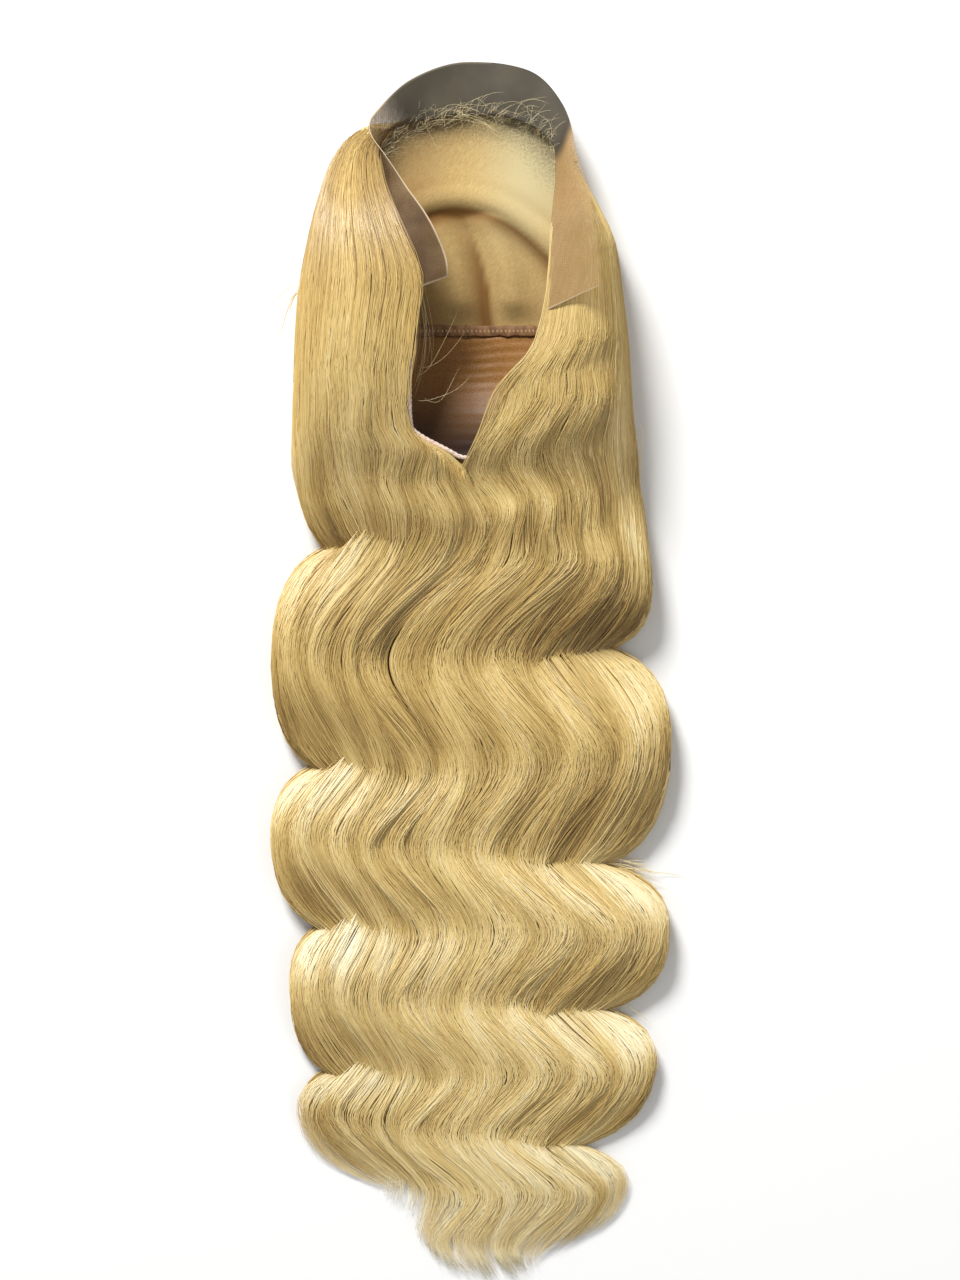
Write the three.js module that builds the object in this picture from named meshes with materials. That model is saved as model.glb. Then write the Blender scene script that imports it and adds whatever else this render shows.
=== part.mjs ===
// A long wavy wig that lies on its back, with the face opening of its cap upwards.
// The cap is an open bowl: a lace crown panel, a wefted nape panel that a seam joins to it, a bound nape
// edge, and a border of bare lace round the front. Two falls of hair wrap the cap's sides and meet below
// the nape. They lie on a third fall, which runs under the cap from the crown to the tips.
// Millimetres, +Z up, +Y from the tips towards the forehead, and the floor at z = 0.
import * as THREE from "three";

// Walls and clearances
const CLOTH = 1.2; // lace and net
const GAP = 0.3; // between neighbouring pieces
const HAIR_GAP = 1.1; // between the cap and the hair that wraps it

// Places along the wig
const HAIRLINE_Y = 345; // the front edge of the crown panel
const SEAM_Y = 209; // where the crown panel meets the nape panel
const NAPE_Y = 128; // the lowest point of the nape edge
const CAP_END_Y = NAPE_Y - 4; // the hair keeps clear of the cap down to here
const LEFT_TOP_Y = 328; // where the left fall begins
const RIGHT_TOP_Y = 315; // where the right fall begins
const BACK_TOP_Y = 337; // where the fall under the cap begins
const BACK_END_Y = -335; // where it ends, under the tips
const TIP_Y = -377; // the longest tips
const RIM_SETBACK = 4; // from the cap's rims to the first hair

// Rows of numbers under named columns, as objects.
function table(columns, rows) {
  return rows.map((row) => Object.fromEntries(columns.map((name, i) => [name, row[i]])));
}

// What the side falls wrap, section by section: the inner face of the cap down to the nape, and below it
// the flat top of the back fall. Each section is an ellipse from floor to crest between two walls, and it
// is open at the top between two rims.
const CORE_SECTIONS = table(
  ["y", "wallLeft", "wallRight", "rimLeft", "rimRight", "floor", "crest"],
  [
    [HAIRLINE_Y, -5, 15, -4, 14, 18, 22],
    [341, -28, 32, -26, 30, 16.5, 25],
    [333, -50, 46, -48, 44, 15.5, 30],
    [320, -57, 55, -55, 53, 15, 37],
    [300, -66, 66, -52, 53, 14, 50],
    [275, -77, 80, -43, 51, 13, 62],
    [235, -84, 87, -30, 49, 13, 70],
    [SEAM_Y, -85, 86, -34, 45, 13, 72],
    [180, -79, 76, -36, 31, 16, 70],
    [160, -66, 58, -36, 19, 23, 65],
    [147, -51, 42, -35, 12, 31, 60],
    [138, -34, 30, -21, 9, 38, 55],
    [NAPE_Y, -17, 19, -4, 7, 44.5, 49],
    [114, -18, 13, -0.3, 0.3, 39, 39.5],
    [98, -20, 10, -3.3, -2.7, 33, 33.5],
    [72, -28, 4, -12.3, -11.7, 25.5, 26],
    [40, -42, -8, -25.3, -24.7, 19, 19.5],
    [0, -48, -14, -31.3, -30.7, 15, 15.5],
    [-100, -46, -12, -29.3, -28.7, 11.5, 12],
    [-200, -36, -4, -20.3, -19.7, 9, 9.5],
    [-280, -26, 6, -10.3, -9.7, 6, 6.5],
    [-330, -12, 16, 1.7, 2.3, 2.6, 3.1],
    [-360, 0, 22, 10.7, 11.3, 1, 1.4],
    [TIP_Y, 8, 30, 18.7, 19.3, 0.5, 0.8],
  ],
);

// The hair before it waves: its outline, the height of its outermost line, the depth of the side falls over
// the core's rims, how far they swell between rim and outline, and the depth of the valleys between locks.
const HAIR_SECTIONS = table(
  ["y", "outerLeft", "outerRight", "edge", "cover", "bulge", "valley"],
  [
    [BACK_TOP_Y, -66, 48, 7, 0.8, 0, 0],
    [LEFT_TOP_Y, -78, 56, 8, 0.8, 1, 0.3],
    [314, -87, 64, 10, 1, 3, 0.8],
    [290, -95, 77, 13, 1, 5, 1.5],
    [260, -102, 90, 15, 1, 6, 2],
    [230, -107, 95, 16, 1, 6, 2],
    [196, -109, 99, 16, 2, 6, 2.4],
    [160, -110, 101, 16, 3, 6, 2.8],
    [NAPE_Y, -111, 104, 15, 5, 6, 3.2],
    [103, -107, 105, 13, 8, 6, 3.6],
    [72, -105, 102, 12, 11, 6, 4],
    [30, -106, 101, 11, 14, 5, 4.2],
    [-30, -107, 103, 10, 15, 4, 4.2],
    [-100, -108, 103, 9, 14, 3, 4],
    [-180, -104, 102, 8, 12, 3, 3.6],
    [-240, -101, 100, 6, 10, 2, 3],
    [-290, -100, 94, 4, 7, 1.5, 2.4],
    [-330, -94, 90, 2, 4, 1, 1.4],
    [-360, -84, 84, 0.9, 2, 0.5, 0.6],
    [TIP_Y, -74, 78, 0.6, 1.2, 0.2, 0.3],
  ],
);

// The body waves: where the left edge, the middle and the right edge are pushed furthest sideways, and how
// far, by turns to the right (+) and to the left (-).
const WAVES = table(
  ["leftY", "middleY", "rightY", "leftPush", "middlePush", "rightPush"],
  [
    [CAP_END_Y, CAP_END_Y, CAP_END_Y, 0, 0, 0],
    [74, 76, 48, 17, 17, 12],
    [8, 4, 12, -17, -20, -17],
    [-62, -63, -45, 13, 12, 22],
    [-106, -114, -123, -16, -13, -23],
    [-162, -164, -165, 13, 12, 22],
    [-206, -210, -214, -10, -12, -20],
    [-253, -254, -253, 12, 12, 19],
    [-283, -292, -299, -12, -12, -25],
    [-322, -329, -328, 14, 11, 12],
    [-354, -363, -368, -12, -12, -22],
    [-392, -400, -402, 0, 0, 0],
  ],
);
const SWELL_POWER = 2.3; // the edges swell in arcs, rounder with a lower power, which meet in narrow hollows
const HOLLOW_ROUND = 6;
const WAVE_LIFT = 6; // how far the hair rises and sinks with the waves
const DIP_POWER = 1.5; // the dips of the lift are narrower than its rises
const LIFT_DEPTH = 24; // hair thinner than this lifts less

// Where the hair ends, at places across it from its left edge (-1) to its right edge (1).
const ENDS = table(
  ["y", "end"],
  [
    [-1, -312],
    [-0.8, -320],
    [-0.6, -328],
    [-0.45, -338],
    [-0.3, -354],
    [-0.1, -369],
    [0.2, TIP_Y],
    [0.55, -374],
    [0.8, -362],
    [1, -344],
  ],
);
const ENDS_FROM_Y = -180; // the hair above this keeps its full length

// Locks of the side falls
const LOCKS = 4;
const LOCK_POINTS = 4; // section points in each lock
const LOCK_TIP = 4; // how much further a lock's middle reaches than its sides
const EDGE_CROWDING = 1.6; // draws section points towards the steep outer edge
const ROUNDNESS = 2.6; // of a fall's section, as a superellipse
const SOLE_TUCK = 0.6; // how far the back fall draws in towards the floor, as a share of its edge height

// Folds of the crown panel: rolls of lace that stand up along a bent line in plan
const FOLDS = table(
  ["fromX", "fromY", "viaX", "viaY", "toX", "toY", "height", "width"],
  [
    [-44, 280, 6, 314, 60, 254, 9, 11],
    [8, 284, 25, 252, 32, 204, 6, 11],
    [-22, 280, -8, 252, -3, 204, 5, 10],
  ],
);

// Relief dies away towards the seam and towards the rims
const SEAM_CALM = [5, 20]; // distances from the seam
const RIM_CALM = [0.75, 0.92]; // places across the cap

// Nape panel
const WEFT_PITCH = 11; // between weft rows
const WEFT_RISE = 1.1; // how far a row stands up

// Binding along the nape edge
const BINDING_WIDTH = 3.4;
const BINDING_HEIGHT = 2.4;
const BINDING_TOP_Y = 203; // where it starts and ends, on the two rims
const BINDING_INSET = 2.8; // from the rims
const BINDING_LIFT = 3 * GAP + BINDING_HEIGHT / 2; // of its middle off the nape panel
const BINDING_TURN = 0.35; // places across the nape between which it turns

// Seam tape between the panels
const SEAM_WIDTH = 6;
const SEAM_THICKNESS = 1.2;
const SEAM_LIFT = 2 * GAP; // off the panels

// The bare lace border: where it starts on the left rim and ends on the right one, how far its free edge
// stands from the rim at shares of the way from left to right, and how far it is lifted off the rim.
const BORDER_LEFT_Y = 230;
const BORDER_RIGHT_Y = 216;
const BORDER_OFFSET = 7 * GAP; // from the crown panel's edge to the border's
const BORDER_SECTIONS = table(
  ["y", "outX", "outY", "outZ", "lift"],
  [
    [0, 17, 7, -5, 0],
    [0.1, 17, 4, 2, 0],
    [0.2, 11, 2, 8, 0],
    [0.27, 2, 3, 14, 0],
    [0.34, -12, 8, 11, 0.5],
    [0.41, -12, 22, 2, 0.5],
    [0.5, -4, 32, -8, 0],
    [0.58, 7, 30, -8, 0.3],
    [0.66, 8, 20, -2, 0.9],
    [0.72, 12, 9, 8, 1.9],
    [0.8, 22, 2, 13, 1.9],
    [0.92, 28, 2, 13, 1.9],
    [1, 32, 14, 11, 1.9],
  ],
);

const lerp = THREE.MathUtils.lerp;
const clamp = THREE.MathUtils.clamp;
const smoothstep = THREE.MathUtils.smoothstep;

// Evenly spaced numbers from start to end, both included.
function steps(start, end, count) {
  return Array.from({ length: count + 1 }, (_, i) => lerp(start, end, i / count));
}

// A smooth function through the points (at, value): a monotone cubic, which never overshoots them.
function monotone(at, value) {
  const rise = at.slice(1).map((a, i) => (value[i + 1] - value[i]) / (a - at[i]));
  const slope = at.map((_, i) => {
    if (i === 0) return rise[0];
    if (i === rise.length) return rise[i - 1];
    const product = rise[i - 1] * rise[i];
    return product <= 0 ? 0 : (2 * product) / (rise[i - 1] + rise[i]);
  });
  const down = at[0] > at[1];
  return (x) => {
    const inside = clamp(x, Math.min(at[0], at.at(-1)), Math.max(at[0], at.at(-1)));
    const next = at.findIndex((a, k) => k > 0 && (down ? inside >= a : inside <= a));
    const i = next - 1;
    const span = at[next] - at[i];
    const t = (inside - at[i]) / span;
    const bendIn = t * (1 - t) * (1 - t) * span * slope[i];
    const bendOut = t * t * (t - 1) * span * slope[next];
    return lerp(value[i], value[next], t * t * (3 - 2 * t)) + bendIn + bendOut;
  };
}

// A table's columns as smooth functions of its first column, y.
function curvesOf(rows) {
  const at = rows.map((row) => row.y);
  const names = Object.keys(rows[0]).filter((name) => name !== "y");
  return Object.fromEntries(names.map((name) => [name, monotone(at, rows.map((row) => row[name]))]));
}

const core = curvesOf(CORE_SECTIONS);
const hair = curvesOf(HAIR_SECTIONS);
const ends = curvesOf(ENDS);
const border = curvesOf(BORDER_SECTIONS);

// A core section's ellipse, and how far past its widest points it closes towards each rim.
function coreSection(y) {
  const half = (core.wallRight(y) - core.wallLeft(y)) / 2;
  const middle = (core.wallRight(y) + core.wallLeft(y)) / 2;
  const left = Math.acos(clamp((middle - core.rimLeft(y)) / half, -1, 1));
  const right = Math.acos(clamp((core.rimRight(y) - middle) / half, -1, 1));
  return { half, middle, left, right, whole: Math.PI + left + right };
}

// A point of the core's face, at a place across from its left rim (-1), by its floor, to its right rim (1).
function corePoint(y, across) {
  const { half, middle, left, right } = coreSection(y);
  const turn = lerp(Math.PI - left, 2 * Math.PI + right, (across + 1) / 2);
  const centre = (core.floor(y) + core.crest(y)) / 2;
  const rise = (core.crest(y) - core.floor(y)) / 2;
  return new THREE.Vector3(middle + half * Math.cos(turn), y, centre + rise * Math.sin(turn));
}

// The place across a core section where its left (-1) or right (1) wall is widest.
function widest(y, side) {
  const { left, right, whole } = coreSection(y);
  return side < 0 ? (2 * left) / whole - 1 : 1 - (2 * right) / whole;
}

// The place across a core section at about a distance from its left (-1) or right (1) rim.
function insideRim(y, side, distance) {
  const { half, whole } = coreSection(y);
  return side * (1 - (2 * distance) / (half * whole));
}

// The place across a core section where the hair on one side begins.
function hairStart(y, side) {
  return y > CAP_END_Y ? insideRim(y, side, RIM_SETBACK) : side;
}

// The core's outward direction, from its slopes along and across.
function coreNormal(y, across) {
  const along = corePoint(y + 0.4, across).sub(corePoint(y - 0.4, across));
  const over = corePoint(y, across + 0.004).sub(corePoint(y, across - 0.004));
  return along.cross(over).normalize();
}

// A point at a distance outside the core's face.
function outside(y, across, distance) {
  return corePoint(y, across).addScaledVector(coreNormal(y, across), distance);
}

// Where the hair lies against the core: outside the cap's cloth, or a little above the back fall.
function hairBed(y, across) {
  return outside(y, across, y > CAP_END_Y ? CLOTH + HAIR_GAP : GAP);
}

// The height of the crown's folds at a place in plan.
function foldHeight(x, y) {
  const place = new THREE.Vector2(x, y);
  let height = 0;
  for (const fold of FOLDS) {
    const line = new THREE.QuadraticBezierCurve(
      new THREE.Vector2(fold.fromX, fold.fromY),
      new THREE.Vector2(fold.viaX, fold.viaY),
      new THREE.Vector2(fold.toX, fold.toY),
    );
    const away = Math.min(...line.getPoints(24).map((point) => point.distanceTo(place)));
    height = Math.max(height, fold.height * Math.exp(-((away / fold.width) ** 2)));
  }
  return height;
}

// A geometry from points and triangles, with its faces turned outwards.
function closed(points, faces) {
  const across = new THREE.Vector3();
  const volume = faces.reduce((sum, [a, b, c]) => {
    return sum + points[a].dot(across.crossVectors(points[b], points[c]));
  }, 0);
  const geometry = new THREE.BufferGeometry().setFromPoints(points);
  geometry.setIndex(faces.flatMap(([a, b, c]) => (volume > 0 ? [a, b, c] : [a, c, b])));
  geometry.computeVertexNormals();
  return geometry;
}

function planDistance(a, b) {
  return Math.hypot(a.x - b.x, a.y - b.y);
}

// A closed solid through rings of points. The first `front` points of each ring run one way over the solid's
// front, the rest run back over its other face, and a strip between the two closes each end.
function loft(rings, front) {
  const points = rings.flat();
  const count = rings[0].length;
  const last = (rings.length - 1) * count;
  const faces = [];
  for (let i = 0; i + 1 < rings.length; i++) {
    for (let j = 0; j < count; j++) {
      const a = i * count + j;
      const b = i * count + ((j + 1) % count);
      const [c, d] = [b + count, a + count];
      const leaning = planDistance(points[a], points[c]) < planDistance(points[b], points[d]);
      faces.push(...(leaning ? [[a, b, c], [a, c, d]] : [[a, b, d], [b, c, d]]));
    }
  }
  let over = 0;
  let under = count - 1;
  while (over < front - 1 || under > front) {
    const overShare = (over + 1) / (front - 1);
    const underShare = (count - under) / (count - 1 - front);
    const stepOver = under === front || (over < front - 1 && overShare <= underShare);
    const face = stepOver ? [over + 1, over, under] : [under, under - 1, over];
    if (stepOver) over += 1;
    else under -= 1;
    faces.push(face, face.map((corner) => corner + last).reverse());
  }
  return closed(points, faces);
}

const CAP_PLACES = steps(-1, 1, 22); // across the cap, from rim to rim
const FRONT_STATIONS = [HAIRLINE_Y, 343, 340, 335, 329]; // close together where the front edge bends

// A cloth panel of the cap: its inner face at each station, raised by a relief, and its outer face.
function capPanel(stations, places, relief) {
  const rings = stations.map((y, i) => {
    const inner = [];
    const outer = [];
    for (const across of places) {
      const normal = coreNormal(y, across);
      const offSeam = smoothstep(Math.abs(y - SEAM_Y), ...SEAM_CALM);
      const offRim = 1 - smoothstep(Math.abs(across), ...RIM_CALM);
      const face = corePoint(y, across);
      face.addScaledVector(normal, -offSeam * offRim * relief(face, i));
      inner.push(face);
      outer.unshift(face.clone().addScaledVector(normal, CLOTH));
    }
    return [...inner, ...outer];
  });
  return loft(rings, places.length);
}

function crownPanel() {
  const stations = [...FRONT_STATIONS, ...steps(322, SEAM_Y + GAP / 2, 14)];
  return capPanel(stations, CAP_PLACES, (face) => foldHeight(face.x, face.y));
}

function weftPanel() {
  const length = SEAM_Y - GAP / 2 - NAPE_Y;
  const rows = Math.round(length / WEFT_PITCH);
  const stations = [...steps(SEAM_Y - GAP / 2, NAPE_Y + 2.5, 2 * rows), NAPE_Y];
  return capPanel(stations, CAP_PLACES, (face, station) => (station % 2 ? WEFT_RISE : 0));
}

// The tape over the seam, along the inside of the cap from rim to rim.
function panelSeam() {
  const rings = CAP_PLACES.slice(1, -1).map((across) => {
    const corner = (y, height) => outside(SEAM_Y + y, across, -SEAM_LIFT - height);
    return [
      corner(-SEAM_WIDTH / 2, 0),
      corner(-SEAM_WIDTH / 2, SEAM_THICKNESS / 2),
      corner(0, SEAM_THICKNESS),
      corner(SEAM_WIDTH / 2, SEAM_THICKNESS / 2),
      corner(SEAM_WIDTH / 2, 0),
      corner(0, 0),
    ];
  });
  return loft(rings, 5);
}

// The binding, just inside the nape panel's edge: down the left rim, round the nape and up the right rim.
function napeBinding() {
  const rim = (y, side) => outside(y, insideRim(y, side, BINDING_INSET), -BINDING_LIFT);
  const down = steps(BINDING_TOP_Y, NAPE_Y + 7, 14);
  const nape = (across) => outside(NAPE_Y + BINDING_INSET, across, -BINDING_LIFT);
  const turn = steps(-BINDING_TURN, BINDING_TURN, 2).map(nape);
  const path = [...down.map((y) => rim(y, -1)), ...turn, ...down.reverse().map((y) => rim(y, 1))];
  const line = new THREE.CatmullRomCurve3(path);
  const rings = steps(0, 1, 28).map((share) => {
    const centre = line.getPointAt(share);
    const tangent = line.getTangentAt(share);
    const side = new THREE.Vector3().crossVectors(tangent, new THREE.Vector3(0, 0, 1)).normalize();
    const up = new THREE.Vector3().crossVectors(side, tangent);
    return Array.from({ length: 8 }, (_, k) => {
      const turned = (Math.PI * k) / 4;
      const point = centre.clone().addScaledVector(side, (BINDING_WIDTH / 2) * Math.cos(turned));
      return point.addScaledVector(up, (BINDING_HEIGHT / 2) * Math.sin(turned));
    });
  });
  return loft(rings, 5);
}

// The bare lace: a strip along the front rims, turned inwards on the left and outwards elsewhere.
function laceBorder() {
  const rim = (y, side) => {
    const place = corePoint(y, side);
    return { place, normal: coreNormal(y, side) };
  };
  const front = [-0.5, 0, 0.5].map((across) => rim(HAIRLINE_Y, across));
  const bend = FRONT_STATIONS.slice(1);
  const left = [...steps(BORDER_LEFT_Y, 321, 10), ...bend.toReversed()].map((y) => rim(y, -1));
  const right = [...bend, ...steps(321, BORDER_RIGHT_Y, 11)].map((y) => rim(y, 1));
  const stops = [...left, ...front, ...right];
  const line = new THREE.CatmullRomCurve3(stops.map((stop) => stop.place));
  const normals = new THREE.CatmullRomCurve3(stops.map((stop) => stop.normal));
  const sections = steps(0, 1, 27).map((share) => {
    const spread = line.getUtoTmapping(share);
    const out = new THREE.Vector3(border.outX(share), border.outY(share), border.outZ(share));
    const base = line.getPoint(spread).addScaledVector(normals.getPoint(spread), border.lift(share));
    base.addScaledVector(out.clone().normalize(), BORDER_OFFSET);
    return { base, out, tangent: line.getTangentAt(share) };
  });
  const widths = steps(0, 1, 5);
  const rings = sections.map(({ base, out, tangent }) => {
    const thick = new THREE.Vector3().crossVectors(tangent, out).normalize().multiplyScalar(CLOTH);
    const lower = widths.map((share) => {
      const rise = out.z > 0 ? Math.sin((Math.PI / 2) * share) : share;
      return new THREE.Vector3(base.x + out.x * share, base.y + out.y * share, base.z + out.z * rise);
    });
    const upper = lower.map((point) => point.clone().add(thick));
    return [...lower, ...upper.reverse()];
  });
  return loft(rings, widths.length);
}

// The smooth value at a place across the hair, from those at its left edge, middle and right edge.
function through(left, middle, right, across) {
  const sides = (left * across * (across - 1) + right * across * (across + 1)) / 2;
  return sides + middle * (1 - across * across);
}

// How far the waves push a place across the hair sideways, and how far it is lifted.
function waveAt(across, y) {
  const peakY = (wave) => through(wave.leftY, wave.middleY, wave.rightY, across);
  const push = (wave) => through(wave.leftPush, wave.middlePush, wave.rightPush, across);
  const next = WAVES.findIndex((wave) => peakY(wave) < y);
  if (next <= 0) return { push: 0, lift: 0 };
  const [from, to] = [WAVES[next - 1], WAVES[next]];
  const span = peakY(from) - peakY(to);
  const t = clamp((peakY(from) - y) / span, 0, 1);
  const ease = (1 - Math.cos(Math.PI * t)) / 2;
  const rightward = push(to) > push(from);
  const right = rightward ? ease : 1 - ease;
  const hollow = across < 0 ? right : 1 - right;
  const away = span * (rightward === across > 0 ? t : 1 - t);
  const rounded = (length) => Math.hypot(length, HOLLOW_ROUND) - HOLLOW_ROUND;
  const near = clamp(1 - rounded(away) / rounded(span), 0, 1);
  const pinched = 1 - (1 - near ** SWELL_POWER) ** (1 / SWELL_POWER);
  const atEdge = next === 1 && across > 0 ? 0 : Math.abs(across) ** 5;
  const deep = lerp(hollow, pinched, atEdge);
  const [low, high] = rightward ? [push(from), push(to)] : [push(to), push(from)];
  const dips = lerp(right ** DIP_POWER, (1 - right) ** DIP_POWER, (across + 1) / 2);
  const lift = WAVE_LIFT * (1 - 2 * lerp(dips, pinched, 0.4 * atEdge)) * smoothstep(NAPE_Y - y, 0, 60);
  return { push: lerp(low, high, across < 0 ? deep : 1 - deep), lift };
}

// Lays a point of unwaved hair in place: shortened to where it ends, pushed and lifted by the waves.
// lock is 1 in the middle of a lock and 0 between locks.
function lay({ x, y, z }, lock = 1) {
  const width = hair.outerRight(y) - hair.outerLeft(y);
  const across = clamp((2 * (x - hair.outerLeft(y))) / width - 1, -1, 1);
  const full = TIP_Y - ENDS_FROM_Y;
  const own = ends.end(across) + (1 - lock) * LOCK_TIP - ENDS_FROM_Y;
  const shortened = y < ENDS_FROM_Y ? ENDS_FROM_Y + ((y - ENDS_FROM_Y) * own) / full : y;
  const { push, lift } = waveAt(across, shortened);
  return new THREE.Vector3(x + push, shortened, z + lift * clamp(z / LIFT_DEPTH, 0, 1));
}

const NAPE_STATIONS = [144, 140, 136, 133, 130.5, NAPE_Y, CAP_END_Y + 1];
const HOLLOW_STATIONS = [74, 12, -62, -123, -162, -221, -289, -323].flatMap((y) => [y + 9, y, y - 9]);
const SWELL_STATIONS = [114, 98, 43, -25, -92, -255, -352, TIP_Y];
const LOWER_STATIONS = [...HOLLOW_STATIONS, ...SWELL_STATIONS].sort((a, b) => b - a);
const HAIR_STATIONS = [...steps(LEFT_TOP_Y, 149, 13), ...NAPE_STATIONS, ...LOWER_STATIONS];

function outline(y, side) {
  return new THREE.Vector3(side < 0 ? hair.outerLeft(y) : hair.outerRight(y), y, hair.edge(y));
}

// Where a side fall and the back fall part: from the core's wall (0) to the outline (1).
function parting(y, side, share) {
  return hairBed(y, widest(y, side)).lerp(outline(y, side), share);
}

// A side fall: locks on top from outline to rim, then down along the core and back along the parting.
function sideFall(side) {
  const topShares = steps(0, 1, LOCKS * LOCK_POINTS);
  const stations = HAIR_STATIONS.filter((y) => y <= (side < 0 ? LEFT_TOP_Y : RIGHT_TOP_Y));
  const rings = stations.map((y) => {
    const start = hairStart(y, side);
    const rim = hairBed(y, start);
    const inner = rim.clone().addScaledVector(coreNormal(y, start), hair.cover(y));
    const outer = outline(y, side);
    const top = topShares.map((share) => {
      const lock = Math.abs(Math.sin(Math.PI * LOCKS * share));
      const q = share ** EDGE_CROWDING;
      const swell = (1 - (1 - q) ** ROUNDNESS) ** (1 / ROUNDNESS);
      const point = outer.clone().lerp(inner, q);
      point.z = lerp(outer.z, inner.z, swell) + hair.bulge(y) * Math.sin(Math.PI * q);
      point.z -= hair.valley(y) * (1 - lock) * swell * (1 - q ** 8);
      return lay(point, share === 0 || share === 1 ? 1 : lock);
    });
    const wall = steps(0, 1, 5).map((share) => lay(hairBed(y, lerp(start, widest(y, side), share))));
    return [...top, ...wall, lay(parting(y, side, 0.5))];
  });
  return loft(rings, topShares.length);
}

const SOLE_POINTS = 4; // across the back fall's flat underside

// The back fall: flat on the floor, hollowed on top for the cap, and parted from the side falls by a gap.
function backFall() {
  const front = steps(BACK_TOP_Y, LEFT_TOP_Y, 3).slice(0, -1);
  const stations = [...front, ...HAIR_STATIONS.filter((y) => y >= BACK_END_Y)];
  const rings = stations.map((y) => {
    const under = steps(widest(y, -1), widest(y, 1), 12).map((across) => hairBed(y, across));
    const left = [1, 0.5].map((share) => parting(y, -1, share));
    const right = [0.5, 1].map((share) => parting(y, 1, share));
    const top = [...left, ...under, ...right].map((point) => {
      point.z -= GAP;
      return lay(point);
    });
    const tuck = hair.edge(y) * SOLE_TUCK;
    const sole = steps(hair.outerRight(y) - tuck, hair.outerLeft(y) + tuck, SOLE_POINTS - 1);
    return [...top, ...sole.map((x) => lay(new THREE.Vector3(x, y, 0)))];
  });
  return loft(rings, rings[0].length - SOLE_POINTS);
}

// Colours
const MATERIALS = {
  bare_lace: { color: 0xb79c86, roughness: 0.9 },
  crown_lace: { color: 0xe9d5a2, roughness: 0.85 },
  weft_net: { color: 0x96704b, roughness: 0.7 },
  seam_tape: { color: 0xc9ad7c, roughness: 0.85 },
  binding_tape: { color: 0xe6d3c6, roughness: 0.8 },
  blonde_hair: { color: 0xd9b96f, roughness: 0.45 },
};

function piece(name, geometry, slot) {
  const material = new THREE.MeshStandardMaterial({ ...MATERIALS[slot], name: slot });
  const mesh = new THREE.Mesh(geometry, material);
  mesh.name = name;
  return mesh;
}

const wig = new THREE.Group();
wig.name = "glueless_wig";
wig.add(
  piece("lace_border", laceBorder(), "bare_lace"),
  piece("crown_panel", crownPanel(), "crown_lace"),
  piece("weft_panel", weftPanel(), "weft_net"),
  piece("panel_seam", panelSeam(), "seam_tape"),
  piece("nape_binding", napeBinding(), "binding_tape"),
  piece("hair_left", sideFall(-1), "blonde_hair"),
  piece("hair_right", sideFall(1), "blonde_hair"),
  piece("hair_back", backFall(), "blonde_hair"),
);

export default wig;
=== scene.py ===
"""A long blonde wavy lace wig, lying on its back with the face opening of its cap upwards.

The lace, net and tapes of the cap are sheets laid along the core, the inner face of the cap. The hair is a
soft body in three falls under a cover of separate strands. Sizes are in millimetres until a mesh is made
of them.
"""

from types import SimpleNamespace

import bmesh
import bpy
import numpy as np
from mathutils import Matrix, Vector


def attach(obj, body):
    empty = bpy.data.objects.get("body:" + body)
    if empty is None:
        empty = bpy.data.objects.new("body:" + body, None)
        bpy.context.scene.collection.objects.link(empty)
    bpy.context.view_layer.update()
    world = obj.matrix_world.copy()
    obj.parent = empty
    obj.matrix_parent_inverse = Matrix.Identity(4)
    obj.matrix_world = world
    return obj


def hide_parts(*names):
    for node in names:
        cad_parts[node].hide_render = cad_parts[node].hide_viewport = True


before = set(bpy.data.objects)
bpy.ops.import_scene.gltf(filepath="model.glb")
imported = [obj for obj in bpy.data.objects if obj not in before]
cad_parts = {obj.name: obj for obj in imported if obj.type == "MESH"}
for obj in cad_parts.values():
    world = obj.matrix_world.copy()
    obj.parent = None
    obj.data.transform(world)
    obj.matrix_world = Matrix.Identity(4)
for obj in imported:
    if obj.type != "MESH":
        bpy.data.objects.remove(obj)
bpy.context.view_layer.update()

MM = 0.001
UP = np.array([0.0, 0.0, 1.0])
chance = np.random.default_rng(30)


# Numbers and smooth lines


def mix(start, end, share):
    return start + (end - start) * share


def smoothstep(value, low, high):
    share = np.clip((value - low) / (high - low), 0, 1)
    return share * share * (3 - 2 * share)


def unit(vectors):
    return vectors / np.maximum(np.linalg.norm(vectors, axis=-1, keepdims=True), 1e-9)


def points(x, y, z):
    return np.stack(np.broadcast_arrays(x, y, z), axis=-1).astype(float)


def lengths_along(line):
    """The length of a line up to each of its points."""
    return np.concatenate([[0], np.cumsum(np.linalg.norm(np.diff(line, axis=0), axis=1))])


def at_lengths(at, length, line):
    """Points of a line at lengths along it."""
    return np.stack([np.interp(at, length, line[:, axis]) for axis in range(3)], -1)


def bent_line(from_x, from_y, via_x, via_y, to_x, to_y):
    """A curve in plan from one place to another, drawn towards a third."""
    t = np.linspace(0, 1, 33)
    x = (1 - t) ** 2 * from_x + 2 * t * (1 - t) * via_x + t * t * to_x
    y = (1 - t) ** 2 * from_y + 2 * t * (1 - t) * via_y + t * t * to_y
    return x, y


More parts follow.
